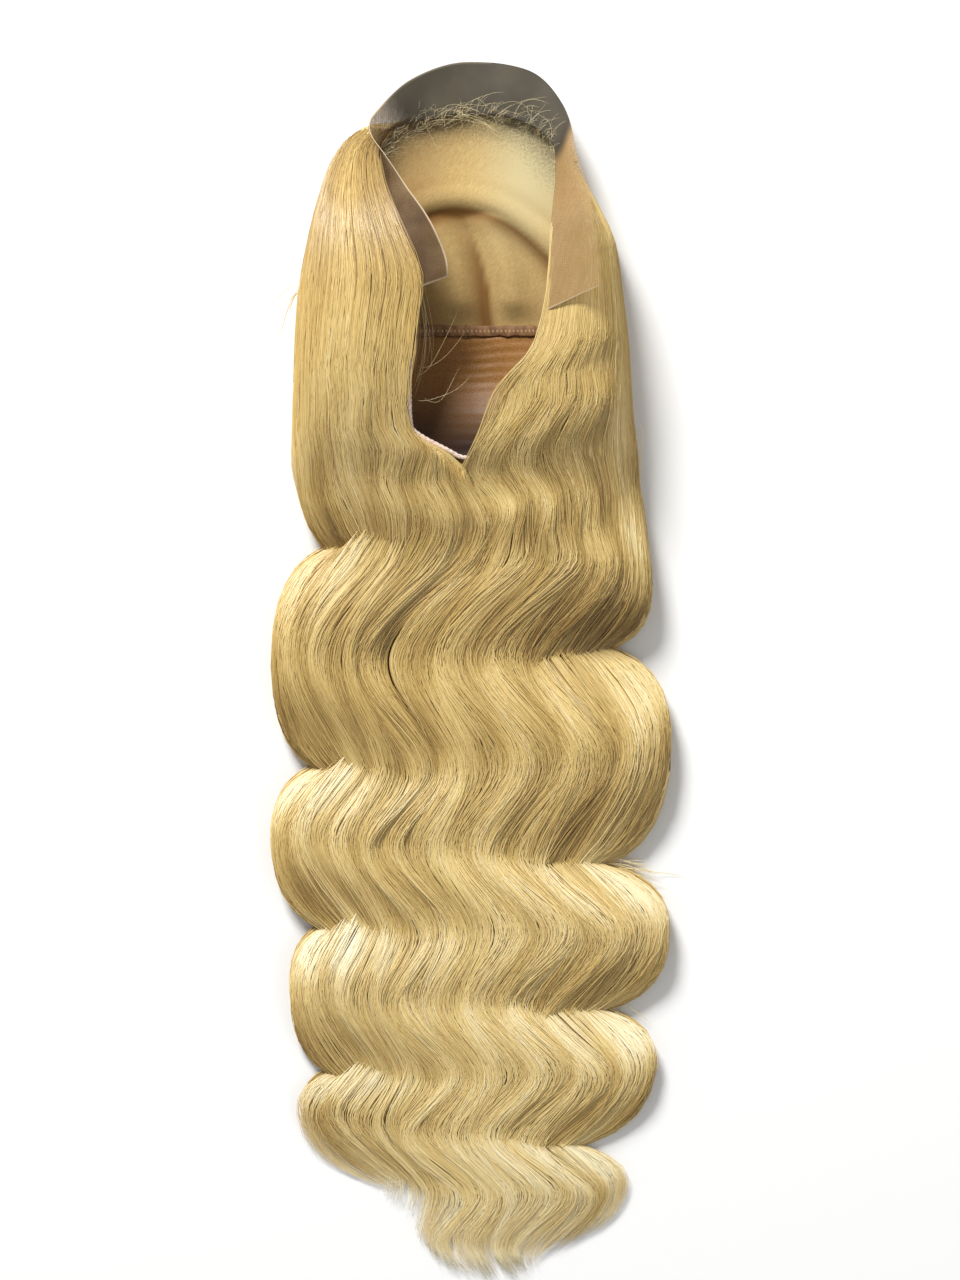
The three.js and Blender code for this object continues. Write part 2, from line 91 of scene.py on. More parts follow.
class Curve:
    """A smooth line through a table's points, which never overshoots them."""

    def __init__(self, at, value):
        order = np.argsort(at)
        self.at, self.value = at[order], value[order]
        rise = np.diff(self.value) / np.diff(self.at)
        same_way = rise[:-1] * rise[1:] > 0
        total = np.where(same_way, rise[:-1] + rise[1:], 1)
        inner = np.where(same_way, 2 * rise[:-1] * rise[1:] / total, 0)
        self.slope = np.concatenate([rise[:1], inner, rise[-1:]])

    def __call__(self, x):
        x = np.clip(x, self.at[0], self.at[-1])
        i = np.clip(np.searchsorted(self.at, x, side="right") - 1, 0, len(self.at) - 2)
        span = self.at[i + 1] - self.at[i]
        t = (x - self.at[i]) / span
        straight = mix(self.value[i], self.value[i + 1], t * t * (3 - 2 * t))
        bend_in = t * (1 - t) ** 2 * span * self.slope[i]
        bend_out = t * t * (t - 1) * span * self.slope[i + 1]
        return straight + bend_in + bend_out


def curves(columns, rows):
    """Curves over a table's first column, by the names of its other columns."""
    rows = np.array(rows, float)
    names = columns.split()[1:]
    return SimpleNamespace(**{name: Curve(rows[:, 0], rows[:, i + 1]) for i, name in enumerate(names)})


# Places along the wig

CLOTH = 1.2  # thickness of lace and net
GAP = 0.3  # between pieces that lie on each other
HAIR_GAP = 0.5  # between the cap and the hair
HAIRLINE_Y = 345
SEAM_Y = 209
NAPE_Y = 128
CAP_END_Y = NAPE_Y - 4
LEFT_TOP_Y = 328
RIGHT_TOP_Y = 315
BACK_TOP_Y = 337
TIP_Y = -377
RIM_SETBACK = 4  # from the cap's rim to where the hair starts
ENDS_FROM_Y = -180  # beyond it the hair is shortened to where it ends

# The core: the inner face of the cap, and below the nape the flat top of the back fall. Each section is an
# ellipse from floor to crest between two walls, open at the top between two rims.
CORE = curves(
    "y wall_left wall_right rim_left rim_right floor crest",
    [
        (HAIRLINE_Y, -5, 15, -4, 14, 18, 22),
        (341, -28, 32, -26, 30, 16.5, 25),
        (333, -50, 46, -48, 44, 15.5, 30),
        (320, -57, 55, -55, 53, 15, 37),
        (300, -66, 66, -52, 53, 14, 50),
        (275, -77, 80, -43, 51, 13, 62),
        (235, -84, 87, -30, 49, 13, 70),
        (SEAM_Y, -85, 86, -34, 45, 13, 72),
        (180, -79, 76, -36, 31, 16, 70),
        (160, -66, 58, -36, 19, 23, 65),
        (147, -51, 42, -35, 12, 31, 60),
        (138, -34, 30, -21, 9, 38, 55),
        (NAPE_Y, -17, 19, -4, 7, 44.5, 49),
        (114, -18, 13, -0.3, 0.3, 39, 39.5),
        (98, -20, 10, -3.3, -2.7, 33, 33.5),
        (72, -28, 4, -12.3, -11.7, 25.5, 26),
        (40, -42, -8, -25.3, -24.7, 19, 19.5),
        (0, -48, -14, -31.3, -30.7, 15, 15.5),
        (-100, -46, -12, -29.3, -28.7, 11.5, 12),
        (-200, -36, -4, -20.3, -19.7, 9, 9.5),
        (-280, -26, 6, -10.3, -9.7, 6, 6.5),
        (-330, -12, 16, 1.7, 2.3, 2.6, 3.1),
        (-360, 0, 22, 10.7, 11.3, 1, 1.4),
        (TIP_Y, 8, 30, 18.7, 19.3, 0.5, 0.8),
    ],
)

# The hair before it waves: its outline, the height of its outermost line, the depth of the side falls over
# the core's rims, how far they swell between rim and outline, and the depth of the valleys between locks.
HAIR = curves(
    "y outer_left outer_right edge cover bulge valley",
    [
        (BACK_TOP_Y, -66, 48, 7, 0.8, 0, 0),
        (LEFT_TOP_Y, -78, 56, 8, 0.8, 1, 0.3),
        (314, -87, 64, 10, 1, 3, 0.8),
        (290, -95, 78, 13, 1, 5, 1.5),
        (260, -102, 91, 15, 1, 6, 2),
        (230, -107, 95, 16, 1, 6, 2),
        (196, -109, 99, 16, 2, 6, 2.4),
        (160, -110, 101, 16, 3, 6, 2.8),
        (NAPE_Y, -111, 104, 15, 5, 6, 3.2),
        (103, -107, 105, 13, 8, 6, 3.6),
        (72, -105, 102, 12, 11, 6, 4),
        (30, -106, 101, 11, 14, 5, 4.2),
        (-30, -107, 103, 10, 15, 4, 4.2),
        (-100, -108, 103, 9, 14, 3, 4),
        (-180, -104, 102, 8, 12, 3, 3.6),
        (-240, -101, 100, 6, 10, 2, 3),
        (-290, -100, 94, 4, 7, 1.5, 2.4),
        (-330, -94, 90, 2, 4, 1, 1.4),
        (-360, -84, 84, 0.9, 2, 0.5, 0.6),
        (TIP_Y, -74, 78, 0.6, 1.2, 0.2, 0.3),
    ],
)
ROUNDNESS = 2.6  # of the side falls' tops near the outline
SOLE_TUCK = 0.6  # how far the sole is drawn in, as a share of the edge's height

# The body waves: where the left edge, the middle and the right edge are pushed furthest sideways, and how
# far, by turns to the right (+) and to the left (-).
WAVES = np.array(
    [
        (CAP_END_Y, CAP_END_Y, CAP_END_Y, 0, 0, 0),
        (74, 76, 48, 17, 17, 12),
        (8, 4, 12, -17, -20, -17),
        (-62, -63, -45, 13, 12, 22),
        (-106, -114, -123, -16, -13, -23),
        (-162, -164, -165, 13, 12, 22),
        (-206, -210, -214, -10, -12, -20),
        (-253, -254, -253, 12, 12, 19),
        (-283, -292, -299, -12, -12, -25),
        (-322, -329, -328, 14, 11, 12),
        (-354, -363, -368, -12, -12, -22),
        (-392, -400, -402, 0, 0, 0),
    ],
    float,
)
SWELL_POWER = 2.3  # the edges swell in arcs, rounder with a lower power, which meet in narrow hollows
HOLLOW_ROUND = 6  # the hollows' own rounding
PUSH_EDGE_POWER = 4  # how closely the narrow hollows keep to the edges
LIFT_EDGE_POWER = 5  # and their dips
EDGE_DIP = 0.15  # how far the lift follows them
WAVE_LIFT = 6.0
DIP_POWER = 1.5  # the dips of the lift are narrower than its rises
LIFT_DEPTH = 24  # hair thinner than this lifts less

# Where the hair ends, at places across it from its left edge (-1) to its right edge (1).
ENDS = curves(
    "across end",
    [
        (-1, -322),
        (-0.8, -330),
        (-0.6, -337),
        (-0.45, -345),
        (-0.3, -359),
        (-0.1, -373),
        (0.2, TIP_Y - 4),
        (0.55, -379),
        (0.8, -367),
        (1, -350),
    ],
)


# The core and the hair as surfaces


def core_section(y):
    left, right = CORE.wall_left(y), CORE.wall_right(y)
    half, middle = (right - left) / 2, (right + left) / 2
    left_turn = np.arccos(np.clip((middle - CORE.rim_left(y)) / half, -1, 1))
    right_turn = np.arccos(np.clip((CORE.rim_right(y) - middle) / half, -1, 1))
    return half, middle, left_turn, right_turn


def core_point(y, across):
    """A point of the core, across from its left rim (-1), by its floor, to its right rim (1)."""
    half, middle, left_turn, right_turn = core_section(y)
    turn = mix(np.pi - left_turn, 2 * np.pi + right_turn, (across + 1) / 2)
    floor, crest = CORE.floor(y), CORE.crest(y)
    return points(middle + half * np.cos(turn), y, (floor + crest) / 2 + (crest - floor) / 2 * np.sin(turn))


def core_normal(y, across):
    """The core's outward direction."""
    along = core_point(y + 0.4, across) - core_point(y - 0.4, across)
    over = core_point(y, across + 0.004) - core_point(y, across - 0.004)
    return unit(np.cross(along, over))


def outside(y, across, distance):
    return core_point(y, across) + core_normal(y, across) * np.asarray(distance)[..., None]


def inside_rim(y, side, distance):
    half, _, left_turn, right_turn = core_section(y)
    return side * (1 - 2 * distance / (half * (np.pi + left_turn + right_turn)))


def widest(y, side):
    _, _, left_turn, right_turn = core_section(y)
    turned = left_turn if side < 0 else right_turn
    return side * (1 - 2 * turned / (np.pi + left_turn + right_turn))


def hair_start(y, side):
    return np.where(y > CAP_END_Y, inside_rim(y, side, RIM_SETBACK), side)


def hair_bed(y, across):
    return outside(y, across, np.where(y > CAP_END_Y, CLOTH + HAIR_GAP, GAP))


def outer_x(side, y):
    return HAIR.outer_left(y) if side < 0 else HAIR.outer_right(y)


def outline(y, side):
    return points(outer_x(side, y), y, HAIR.edge(y))


LONG_Y = np.arange(TIP_Y, BACK_TOP_Y + 1, 2.0)
HEIGHT_SOFTENING = 8
PLAN_SOFTENING = 2


def softened(values, reach):
    weights = reach + 1 - np.abs(np.arange(-reach, reach + 1.0))
    return np.convolve(np.pad(values, reach, "edge"), weights / weights.sum(), "valid")


def inner_line(side):
    """A side fall's inner edge, over the core's rim, softened along the hair: its x and its heights."""
    start = hair_start(LONG_Y, side)
    line = hair_bed(LONG_Y, start) + core_normal(LONG_Y, start) * HAIR.cover(LONG_Y)[:, None]
    return softened(line[:, 0], PLAN_SOFTENING), softened(line[:, 2], HEIGHT_SOFTENING)


INNER = {side: inner_line(side) for side in (-1, 1)}


def inner_x(side, y):
    return np.interp(y, LONG_Y, INNER[side][0])


def top_height(side, y, inward):
    """The height of a side fall's unwaved top, from its outline (inward 0) to its inner edge (1)."""
    share = np.clip(inward, 0, 1)
    swell = (1 - (1 - share) ** ROUNDNESS) ** (1 / ROUNDNESS)
    inner = np.interp(y, LONG_Y, INNER[side][1])
    return mix(HAIR.edge(y), inner, swell) + HAIR.bulge(y) * np.sin(np.pi * share)


def fall_top(side, y, inward):
    return points(mix(outer_x(side, y), inner_x(side, y), inward), y, top_height(side, y, inward))


def through(left, middle, right, across):
    """The smooth value across the hair, from those at its left edge, middle and right edge."""
    return (left * across * (across - 1) + right * across * (across + 1)) / 2 + middle * (1 - across**2)


def wave_at(across, y):
    """How far the waves push a place sideways, and how far it is lifted."""
    peak = through(WAVES[:, 0], WAVES[:, 1], WAVES[:, 2], across[..., None])
    push = through(WAVES[:, 3], WAVES[:, 4], WAVES[:, 5], across[..., None])
    after = (peak > y[..., None]).sum(-1)
    to = np.clip(after, 1, len(WAVES) - 1)[..., None]
    peak_from, peak_to = (np.take_along_axis(peak, i, -1)[..., 0] for i in (to - 1, to))
    push_from, push_to = (np.take_along_axis(push, i, -1)[..., 0] for i in (to - 1, to))
    span = peak_from - peak_to
    t = np.clip((peak_from - y) / span, 0, 1)
    ease = (1 - np.cos(np.pi * t)) / 2
    to_right = push_to > push_from
    right = np.where(to_right, ease, 1 - ease)
    hollow = np.where(across < 0, right, 1 - right)
    leaving = to_right == (across > 0)
    away = span * np.where(leaving, t, 1 - t)
    rounded = np.hypot(away, HOLLOW_ROUND) - HOLLOW_ROUND
    near = np.clip(1 - rounded / (np.hypot(span, HOLLOW_ROUND) - HOLLOW_ROUND), 0, 1)
    pinched = 1 - (1 - near**SWELL_POWER) ** (1 / SWELL_POWER)
    outward = np.where((after == 1) & (across > 0), 0, np.abs(across))
    deep = mix(hollow, pinched, outward**PUSH_EDGE_POWER)
    narrowed = np.where(across < 0, deep, 1 - deep)
    pushed = mix(np.minimum(push_from, push_to), np.maximum(push_from, push_to), narrowed)
    dips = mix(right**DIP_POWER, (1 - right) ** DIP_POWER, (across + 1) / 2)
    dips = mix(dips, pinched, EDGE_DIP * outward**LIFT_EDGE_POWER)
    lift = WAVE_LIFT * (1 - 2 * dips) * smoothstep(NAPE_Y - y, 0, 60)
    return np.where(after > 0, pushed, 0), lift


def lay(hair, shorter=0.0, early=0.0, strength=1.0):
    """Lays unwaved hair in place: shortened to where it ends, pushed and lifted by the waves."""
    x, y, z = np.moveaxis(hair, -1, 0)
    left, right = HAIR.outer_left(y), HAIR.outer_right(y)
    across = np.clip(2 * (x - left) / (right - left) - 1, -1, 1)
    own = (ENDS.end(across) + shorter - ENDS_FROM_Y) / (TIP_Y - ENDS_FROM_Y)
    shortened = np.where(y < ENDS_FROM_Y, ENDS_FROM_Y + (y - ENDS_FROM_Y) * own, y)
    push, lift = wave_at(across, shortened + early)
    lift = lift * np.clip(z / LIFT_DEPTH, 0, 1)
    return points(x + push * strength, shortened, np.maximum(z + lift, 0.4))


# Materials


class Wire:
    """An output of a material's nodes. Sums, differences and products of wires add Math nodes."""

    def __init__(self, tree, socket=None):
        self.tree, self.socket = tree, socket

    def node(self, kind, settings=(), inputs=(), output=0):
        """Adds a node of that kind and gives one of its outputs."""
        made = self.tree.nodes.new(kind)
        for name, value in dict(settings).items():
            if name == "stops":
                ramp = made.color_ramp.elements
                while len(ramp) < len(value):
                    ramp.new(0.5)
                for element, (place, tint) in zip(ramp, value):
                    element.position, element.color = place, tint
            else:
                setattr(made, name, value)
        for name, value in dict(inputs).items():
            if isinstance(value, Wire):
                self.tree.links.new(value.socket, made.inputs[name])
            else:
                made.inputs[name].default_value = value
        return Wire(self.tree, made.outputs[output])

    def maths(self, operation, *values):
        return self.node("ShaderNodeMath", {"operation": operation}, dict(enumerate(values)))

    def __add__(self, other):
        return self.maths("ADD", self, other)

    def __sub__(self, other):
        return self.maths("SUBTRACT", self, other)

    def __rsub__(self, other):
        return self.maths("SUBTRACT", other, self)

    def __mul__(self, other):
        return self.maths("MULTIPLY", self, other)

    __radd__, __rmul__ = __add__, __mul__

    def between(self, low, high):
        """Rises smoothly from 0 at low to 1 at high."""
        settings = {"interpolation_type": "SMOOTHSTEP"}
        return self.node("ShaderNodeMapRange", settings, {0: self, 1: low, 2: high})

    def blend(self, first, second):
        """A colour from first, where this is 0, to second, where it is 1."""
        settings = {"data_type": "RGBA"}
        return self.node("ShaderNodeMix", settings, {0: self, 6: first, 7: second}, 2)

    def part(self, index):
        return self.node("ShaderNodeSeparateXYZ", (), {0: self}, index)

    def stretched(self, scale):
        return self.node("ShaderNodeMapping", (), {"Vector": self, "Scale": scale})

    def noise(self, scale, detail=2.0):
        return self.node("ShaderNodeTexNoise", (), {"Vector": self, "Scale": scale, "Detail": detail})


def colour(red, green, blue):
    """A colour as seen, from 0 to 255, as the light it stands for."""
    seen = np.array([red, green, blue]) / 255
    light = np.where(seen <= 0.04045, seen / 12.92, ((seen + 0.055) / 1.055) ** 2.4)
    return (*light, 1.0)


def finish(name, paint):
    """A material whose Principled shader's sockets are set by paint, from the piece's own lay attribute and
    from places on the piece in millimetres."""
    material = bpy.data.materials.new(name)
    material.use_nodes = True
    tree = material.node_tree
    shader = tree.nodes["Principled BSDF"]
    lay_of = Wire(tree).node("ShaderNodeAttribute", {"attribute_name": "lay"}, (), 1)
    place = Wire(tree).node("ShaderNodeTexCoord", (), (), 3).stretched((1 / MM, 1 / MM, 1 / MM))
    for socket, value in paint(lay_of, place).items():
        if isinstance(value, Wire):
            tree.links.new(value.socket, shader.inputs[socket])
        else:
            shader.inputs[socket].default_value = value
    return material


def bumped(height, strength, distance):
    inputs = {"Strength": strength, "Distance": distance * MM, "Height": height}
    return height.node("ShaderNodeBump", (), inputs)


BLONDE = [
    (0.0, colour(112, 78, 32)),
    (0.3, colour(194, 162, 93)),
    (0.6, colour(230, 204, 138)),
    (1.0, colour(254, 246, 212)),
]


def strand_paint(lay_of, _):
    """Each strand has a tone of its own, with painted shade where it dips into the hollows of the waves and
    painted light where it rises out of them.
    """
    tone = lay_of.part(0)
    return {
        "Base Color": tone.node("ShaderNodeValToRGB", {"stops": BLONDE}, {0: tone}),
        "Roughness": 0.36,
        "Specular IOR Level": 0.55,
    }


def body_paint(lay_of, _):
    """Fine streaks along the hair, painted deeper than the strands over them as the shade beneath them."""
    streaks = lay_of.stretched((1.6, 0.02, 1.0)).noise(1.0, 4.0)
    shade = streaks.between(0.25, 0.8) * 0.3 + 0.3
    ridges = lay_of.stretched((2.4, 0.01, 1.0)).noise(1.0, 2.0)
    return {
        "Base Color": shade.node("ShaderNodeValToRGB", {"stops": BLONDE}, {0: shade}),
        "Roughness": 0.5,
        "Normal": bumped(ridges, 0.5, 0.6),
    }


def crown_paint(lay_of, place):
    """Cream lace, hatched with tied hair, which thins out to bare taupe lace towards the hairline. Painted
    shade browns it in the creases, under the first roll, on the left and towards the seam, and painted light
    pales its right front.
    """
    front, shade, painted_light = (lay_of.part(i) for i in range(3))
    turned = place.node("ShaderNodeMapping", (), {"Vector": place, "Rotation": (0, 0, 0.7)})
    hatch = turned.stretched((1.6, 0.3, 0.3)).noise(1.0, 3.0)
    knots = place.noise(0.9, 3.0)
    cream = hatch.between(0.25, 0.75).blend(colour(184, 153, 92), colour(203, 176, 118))
    # painted light pales the right front, then painted shade browns the creases, the left and the lower part
    lit = painted_light.blend(cream, colour(206, 191, 144))
    shaded = shade.blend(lit, colour(108, 68, 8))
    ragged = front + (knots - 0.5) * 26
    lace = (1 - ragged.between(-4, 26)).blend(shaded, colour(92, 82, 60))
    return {
        "Base Color": lace,
        "Roughness": 0.85,
        "Normal": bumped(hatch, 0.2, 0.3),
    }


def weft_paint(lay_of, place):
    """Brown satin net, with painted shade that darkens it to near black towards the nape."""
    depth = lay_of.part(2)
    fine = place.stretched((0.9, 1.6, 0.9)).noise(1.0, 3.0)
    brown = fine.between(0.2, 0.8).blend(colour(126, 85, 39), colour(164, 116, 60))
    return {
        # painted shade towards the nape
        "Base Color": depth.between(0.3, 0.95).blend(brown, colour(36, 16, 4)),
        "Roughness": 0.4,
        "Specular IOR Level": 0.22,
        "Normal": bumped(fine, 0.15, 0.3),
    }


def lace_paint(lay_of, place):
    """A fine net, dark and close in front and more open on the temple flaps, with painted shade on the left
    flap and a cut edge painted pale as a highlight.
    """
    closeness, cut = lay_of.part(2), lay_of.part(1)
    front = closeness.between(0.5, 0.85)
    cells = lay_of.node(
        "ShaderNodeTexVoronoi",
        {"feature": "DISTANCE_TO_EDGE"},
        {"Vector": place.stretched((0.8, 0.8, 0.4)), "Scale": 1.0, "Randomness": 0.4},
    )
    thread = 1 - cells.between(0.05, 0.2)
    cloudy = place.noise(0.05, 2.0).between(0.3, 0.7)
    # painted shade: the left flap is browner and darker than the right
    temple = place.part(0).between(-20, 20).blend(colour(84, 58, 30), colour(170, 136, 86))
    flap = (cloudy * 0.2).blend(temple, colour(206, 176, 132))
    taupe = cloudy.blend(colour(60, 53, 38), colour(73, 65, 49))
    # painted highlight along the cut edge, strongest on the flaps
    edge = (1 - cut.between(0.3, 1.5)) * (0.75 - front * 0.65)
    close = closeness + thread * (1 - closeness) * 0.3
    return {
        "Base Color": edge.blend(front.blend(flap, taupe), colour(236, 212, 178)),
        "Roughness": 0.75,
        "Alpha": close + edge * (1 - close),
    }


def seam_paint(lay_of, _):
    """Pinkish brown tape, gathered into fine wrinkles, with a row of stitches along it."""
    along, over = lay_of.part(0), lay_of.part(1)
    wrinkles = lay_of.stretched((0.5, 0.12, 0.0)).noise(1.0, 3.0)
    tape = wrinkles.between(0.3, 0.7).blend(colour(106, 70, 36), colour(142, 102, 62))
    dashes = along.maths("SINE", along * 4.2).between(0.2, 0.5)
    row = 1 - over.maths("ABSOLUTE", over - 3).between(0.2, 0.6)
    return {
        "Base Color": (dashes * row * 0.4).blend(tape, colour(226, 190, 140)),
        "Roughness": 0.7,
        "Normal": bumped(wrinkles, 0.5, 0.5),
    }


def binding_paint(lay_of, _):
    """Woven tape, pale pink, with slanting threads."""
    turned = lay_of.node("ShaderNodeMapping", (), {"Vector": lay_of, "Rotation": (0, 0, 0.7)})
    threads = turned.stretched((1.8, 0.3, 0.0)).noise(1.0, 2.0)
    return {
        "Base Color": threads.between(0.3, 0.7).blend(colour(196, 164, 146), colour(248, 232, 216)),
        "Roughness": 0.65,
        "Normal": bumped(threads, 0.8, 0.5),
    }


FINISHES = {
    "strands": finish("blonde strands", strand_paint),
    "body": finish("blonde hair", body_paint),
    "crown": finish("cream lace", crown_paint),
    "weft": finish("brown weft net", weft_paint),
    "lace": finish("bare lace", lace_paint),
    "seam": finish("seam tape", seam_paint),
    "binding": finish("binding tape", binding_paint),
}


# Meshes

BAKE_MAP = "OFBake"  # the map that a piece's finish is baked through


def add_piece(name, mesh, finish_name, slot, *nodes):
    """Puts a mesh in the scene as a piece of the wig, in place of CAD nodes where it stands for any."""
    mesh.materials.append(FINISHES[finish_name])
    mesh.shade_smooth()
    piece = bpy.data.objects.new(name, mesh)
    bpy.context.scene.collection.objects.link(piece)
    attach(piece, "root")
    if nodes:
        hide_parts(*nodes)
    return piece


def grid_mesh(name, columns, rows, place, wrapped=False):
    """A sheet shaped from a flat grid. place gives a point and a lay for shares across and along it.
    A wrapped sheet's last column meets its first, and its two ends are closed."""
    bm = bmesh.new()
    bmesh.ops.create_grid(bm, x_segments=columns, y_segments=rows, size=1)
    flat = np.array([vert.co for vert in bm.verts])
    shares = np.round((flat[:, :2] + 1) / 2, 6)
    where, lay_of = place(shares[:, 0], shares[:, 1])
    layer = bm.verts.layers.float_vector.new("lay")
    bake = bm.loops.layers.uv.new(BAKE_MAP)
    for vert, point, laid in zip(bm.verts, where * MM, lay_of):
        vert.co = point
        vert[layer] = laid
    bm.verts.index_update()
    for face in bm.faces:
        for loop in face.loops:
            loop[bake].uv = shares[loop.vert.index]
    if wrapped:
        bmesh.ops.remove_doubles(bm, verts=bm.verts, dist=1e-7)
        ends = [edge for edge in bm.edges if edge.is_boundary]
        caps = bmesh.ops.holes_fill(bm, edges=ends)["faces"]
        bmesh.ops.triangulate(bm, faces=caps)
    bmesh.ops.recalc_face_normals(bm, faces=bm.faces)
    mesh = bpy.data.meshes.new(name)
    bm.to_mesh(mesh)
    bm.free()
    return mesh


def add_sheet(name, columns, rows, place, finish_name, slot, node, wrapped=False):
    """Adds a piece shaped from a grid, in place of a CAD node."""
    return add_piece(name, grid_mesh(name, columns, rows, place, wrapped), finish_name, slot, node)


def thicken(piece, thickness, offset):
    wall = piece.modifiers.new("wall", "SOLIDIFY")
    wall.thickness = thickness * MM
    wall.offset = offset
    wall.use_even_offset = False


STRAND_SECTION = ((0, 0.22), (-0.5, -0.06), (0.5, -0.06))  # sideways and up, as shares of the width


def strand_mesh(name, lines, width, tone):
    """Flat three-sided tubes along lines, closed at both ends, with the ridge on top."""
    count, samples = lines.shape[:2]
    tangent = unit(np.gradient(lines, axis=1))
    side = unit(np.cross(tangent, UP))
    top = np.cross(side, tangent)
    around = np.stack([side * over + top * up for over, up in STRAND_SECTION], axis=2)
    rings = lines[:, :, None] + around * width[:, :, None, None]
    rings[..., 2] = np.maximum(rings[..., 2], 0)
    index = np.arange(count * samples * 3).reshape(count, samples, 3)
    turned = np.roll(index, -1, axis=2)
    walls = np.stack([index[:, :-1], index[:, 1:], turned[:, 1:], turned[:, :-1]], axis=-1).reshape(-1, 4)
    caps = np.concatenate([index[:, 0], index[:, -1, ::-1]])
    mesh = bpy.data.meshes.new(name)
    mesh.from_pydata((rings.reshape(-1, 3) * MM).tolist(), [], walls.tolist() + caps.tolist())
    along = np.broadcast_to(np.linspace(0, 1, samples), (count, samples))
    lay_of = np.repeat(points(tone, along, 0.0)[:, :, None], 3, axis=2)
    attribute = mesh.attributes.new("lay", "FLOAT_VECTOR", "POINT")
    attribute.data.foreach_set("vector", lay_of.astype(np.float32).ravel())
    row = (np.arange(count)[:, None, None] + np.array([0.2, 0.5, 0.8])) / count
    uv = np.stack(np.broadcast_arrays(along[:, :, None], row), axis=-1).reshape(-1, 2)
    corners = np.concatenate([walls.ravel(), caps.ravel()])
    mesh.uv_layers.new(name=BAKE_MAP).uv.foreach_set("vector", uv[corners].astype(np.float32).ravel())
    ends = np.empty(len(mesh.edges) * 2, np.int32)
    mesh.edges.foreach_get("vertices", ends)
    ends = ends.reshape(-1, 2)
    sharp = (ends % 3 == ends[:, :1] % 3).all(1) & (ends[:, 0] % 3 > 0)
    mesh.attributes.new("sharp_edge", "BOOLEAN", "EDGE").data.foreach_set("value", sharp)
    return mesh


# The cap

# Folds of the crown along bent lines in plan: rolls that stand up, the first across the crown and the others
# down it, and creases that cut into them. Each row has from_x, from_y, via_x, via_y, to_x, to_y, the height,
# and how wide the fold is above and below its line.
FOLDS = [
    (-44, 280, 6, 314, 60, 254, 6.5, 14, 9),
    (12, 274, 25, 250, 32, 204, 6.5, 11, 11),
    (-20, 270, -8, 250, -3, 204, 6, 10, 10),
]
CREASES = [
    (-1, 271, 12, 250, 14, 190, 7.5, 4.6, 4.6),
    (36, 240, 34, 226, 31, 210, 1.0, 3.5, 3.5),
]
CREASE_SHADE = (-10, 288, 12, 256, 14, 190)  # the long crease's shade, from the first roll to the seam


def fold_heights(x, y, folds):
    """The heights of folds at places in plan, one row for each fold."""
    heights = []
    for *line, height, above, below in folds:
        line_x, line_y = bent_line(*line)
        away = np.hypot(x[:, None] - line_x, y[:, None] - line_y)
        nearest = away.argmin(1)
        gap = away.min(1)
        width = mix(below, above, (1 + (y - line_y[nearest]) / np.maximum(gap, 1e-6)) / 2)
        heights.append(height * np.exp(-((gap / width) ** 2)))
    return np.array(heights)


def crease_shade(x, y):
    """Shade along the long crease: wide on its left, and narrow where the right roll stands over it."""
    line_x, line_y = bent_line(*CREASE_SHADE)
    beside = x - np.interp(y, line_y[::-1], line_x[::-1])
    return np.exp(-((beside / np.where(beside < 0, 9, 2.6)) ** 2)) * smoothstep(line_y[0] - y, 0, 34)


def rim_distance(where):
    """How far places are from the cap's front edge."""
    rim, _ = rim_line()
    parts = np.array_split(where, 40)
    return np.concatenate([np.linalg.norm(part[:, None] - rim, axis=-1).min(1) for part in parts])


def crown_place(share_across, share_along):
    """The crown with its folds. Its lay holds the distance to the front edge, the painted shade and the
    painted light.
    """
    y = mix(HAIRLINE_Y, SEAM_Y + GAP / 2, share_along**1.25)
    across = share_across * 2 - 1
    face = core_point(y, across)
    normal = core_normal(y, across)
    front = rim_distance(face)
    off_rim = 1 - smoothstep(np.abs(across), 0.72, 0.9)
    calm = smoothstep(np.abs(y - SEAM_Y), 3, 20) * off_rim
    rolls = fold_heights(face[:, 0], face[:, 1], FOLDS)
    creases = fold_heights(face[:, 0], face[:, 1], CREASES).max(0)
    rise = rolls.max(0) * (1 - creases / CREASES[0][6]) * calm
    face -= normal * rise[:, None]
    arch = rolls[0] * calm
    # painted shade under the first roll and along the long crease
    under = fold_heights(face[:, 0], face[:, 1] + 7, FOLDS[:1])[0] / FOLDS[0][6]
    shade = 0.75 * crease_shade(face[:, 0], y) + 0.95 * under * smoothstep(5.5 - arch, 0, 3)
    # painted shade on the left of the crown and towards the seam
    left = smoothstep(-face[:, 0], -8, 44)
    below = smoothstep(275 - y, 0, 66)
    shade = np.clip(shade * off_rim + 0.5 * left + 0.35 * below, 0, 0.95)
    # painted light on the right front of the crown
    painted_light = smoothstep(face[:, 0], -5, 40) * smoothstep(y, 240, 310)
    return face, points(front + 15 * smoothstep(265 - y, 0, 20), shade, painted_light)


def weft_place(share_across, share_along):
    """The nape panel: wrinkles sag below the seam, and a soft fold runs down from it."""
    y = mix(SEAM_Y - GAP / 2, NAPE_Y, share_along)
    across = share_across * 2 - 1
    face = core_point(y, across)
    normal = core_normal(y, across)
    x, below = face[:, 0], SEAM_Y - y
    calm = smoothstep(below, 2, 7) * (1 - smoothstep(np.abs(across), 0.75, 0.92))
    sag = below + 0.006 * (x - 4) ** 2
    wrinkles = 0.6 * np.sin(sag * 1.1 + 1.4 * np.sin(x / 11)) * np.exp(-below / 20 - ((x - 5) / 22) ** 2)
    rows = 0.25 * np.abs(np.sin(np.pi * below / 6.5))
    fold = 2.0 * np.exp(-(((x - 17 + 0.1 * below) / 4) ** 2)) * np.exp(-below / 24)
    face -= normal * ((wrinkles + rows + fold) * calm)[:, None]
    # the lay's last part, the share of the way to the nape, carries the painted shade
    return face, points(share_across * 230, below, share_along)


